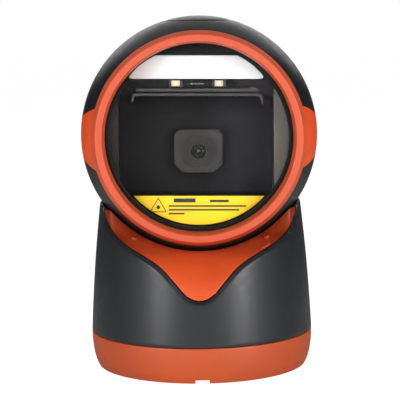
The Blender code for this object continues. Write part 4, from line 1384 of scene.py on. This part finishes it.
def make_camera():
    data = bpy.data.cameras.new("camera")
    data.lens = CAMERA_LENS
    data.sensor_width = 36.0
    data.clip_start = 0.01
    data.clip_end = 20.0
    camera = placed("camera", data)
    back = Vector((0, -math.cos(CAMERA_UP), math.sin(CAMERA_UP)))
    camera.location = (CAMERA_TARGET + back * CAMERA_AWAY) * MM
    camera.rotation_mode = "QUATERNION"
    aim = (-back).to_track_quat("-Z", "Y").to_matrix().to_4x4()
    camera.rotation_quaternion = (aim @ Matrix.Rotation(-CAMERA_ROLL, 4, "Z")).to_quaternion()
    bpy.context.scene.camera = camera


def soft_light(name, azimuth, elevation, wide, tall, power):
    """An area light that faces the object, from angles in degrees and sizes in metres."""
    turn, rise = math.radians(azimuth), math.radians(elevation)
    data = bpy.data.lights.new(name, "AREA")
    data.shape = "RECTANGLE"
    data.size = wide
    data.size_y = tall
    data.energy = power
    light = placed(name, data)
    towards = Vector((math.sin(turn) * math.cos(rise), -math.cos(turn) * math.cos(rise),
                      math.sin(rise)))
    light.location = HEAD * 0.7 + towards * SOFTBOX_AWAY
    light.rotation_mode = "QUATERNION"
    light.rotation_quaternion = towards.to_track_quat("Z", "Y")


def make_world():
    """White to the camera; to every other ray a soft room, brightest in front of the object."""
    world = bpy.data.worlds.new("studio")
    bpy.context.scene.world = world
    world.use_nodes = True
    nodes, links = world.node_tree.nodes, world.node_tree.links
    shown = nodes["Background"]
    shown.inputs["Color"].default_value = (1, 1, 1, 1)
    shown.inputs["Strength"].default_value = 1.0
    room = nodes.new("ShaderNodeBackground")
    place = nodes.new("ShaderNodeTexCoord")
    split = nodes.new("ShaderNodeSeparateXYZ")
    depth = nodes.new("ShaderNodeMapRange")
    depth.inputs["From Min"].default_value = -1.0
    colour = nodes.new("ShaderNodeValToRGB")
    stops = colour.color_ramp.elements
    bands = [stops[0], stops[1]] + [stops.new(0.5) for _ in ROOM_LIGHT[2:]]
    for band, (y, strength) in zip(bands, ROOM_LIGHT):
        band.position = (y + 1) / 2
        band.color = (strength, strength, strength, 1)
    links.new(place.outputs["Generated"], split.inputs["Vector"])
    links.new(split.outputs["Y"], depth.inputs["Value"])
    links.new(depth.outputs["Result"], colour.inputs["Fac"])
    links.new(colour.outputs["Color"], room.inputs["Color"])
    seen = nodes.new("ShaderNodeLightPath")
    mix = nodes.new("ShaderNodeMixShader")
    links.new(seen.outputs["Is Camera Ray"], mix.inputs["Fac"])
    links.new(room.outputs["Background"], mix.inputs[1])
    links.new(shown.outputs["Background"], mix.inputs[2])
    links.new(mix.outputs["Shader"], nodes["World Output"].inputs["Surface"])


def make_floor():
    """White to the camera; to the object, paper that is bright in front of it and dim behind."""
    work = bmesh.new()
    bmesh.ops.create_grid(work, x_segments=1, y_segments=1, size=4000, matrix=shift(0, 0, FLOOR_Z))
    floor = finished("floor", work)
    made = Finish("floor_paper", (0.62, 0.62, 0.62), 0.9, Emission_Color=(1, 1, 1, 1))
    made.vary_colour(made.along("Y"), (0.08, 0.08, 0.08), 0.10, 0.30)
    bounce = made.range(made.along("Y"), FLOOR_LIGHT[0], FLOOR_LIGHT[1], -0.14, -0.03)
    seen = made.nodes.new("ShaderNodeLightPath")
    mix = made.add("ShaderNodeMix", B=0.97)
    made.links.new(seen.outputs["Is Camera Ray"], mix.inputs["Factor"])
    made.links.new(bounce, mix.inputs["A"])
    made.links.new(mix.outputs["Result"], made.shader.inputs["Emission Strength"])
    floor.data.materials.append(made.material)


def make_studio():
    bpy.context.scene.view_settings.view_transform = "Standard"
    make_camera()
    make_world()
    make_floor()
    for name, *values in SOFTBOXES:
        soft_light(f"softbox_{name}", *values)


for make in (make_base_shell, make_cradle, make_skirt, make_front_shell, make_rear_shell,
             make_wells, make_bezel, make_button, make_window, make_tray, make_shelves,
             make_diffuser, make_light_board, make_hood, make_label, make_shroud, make_lens,
             make_screws, make_feet, make_plate, make_socket, dress_inside, make_studio):
    make()
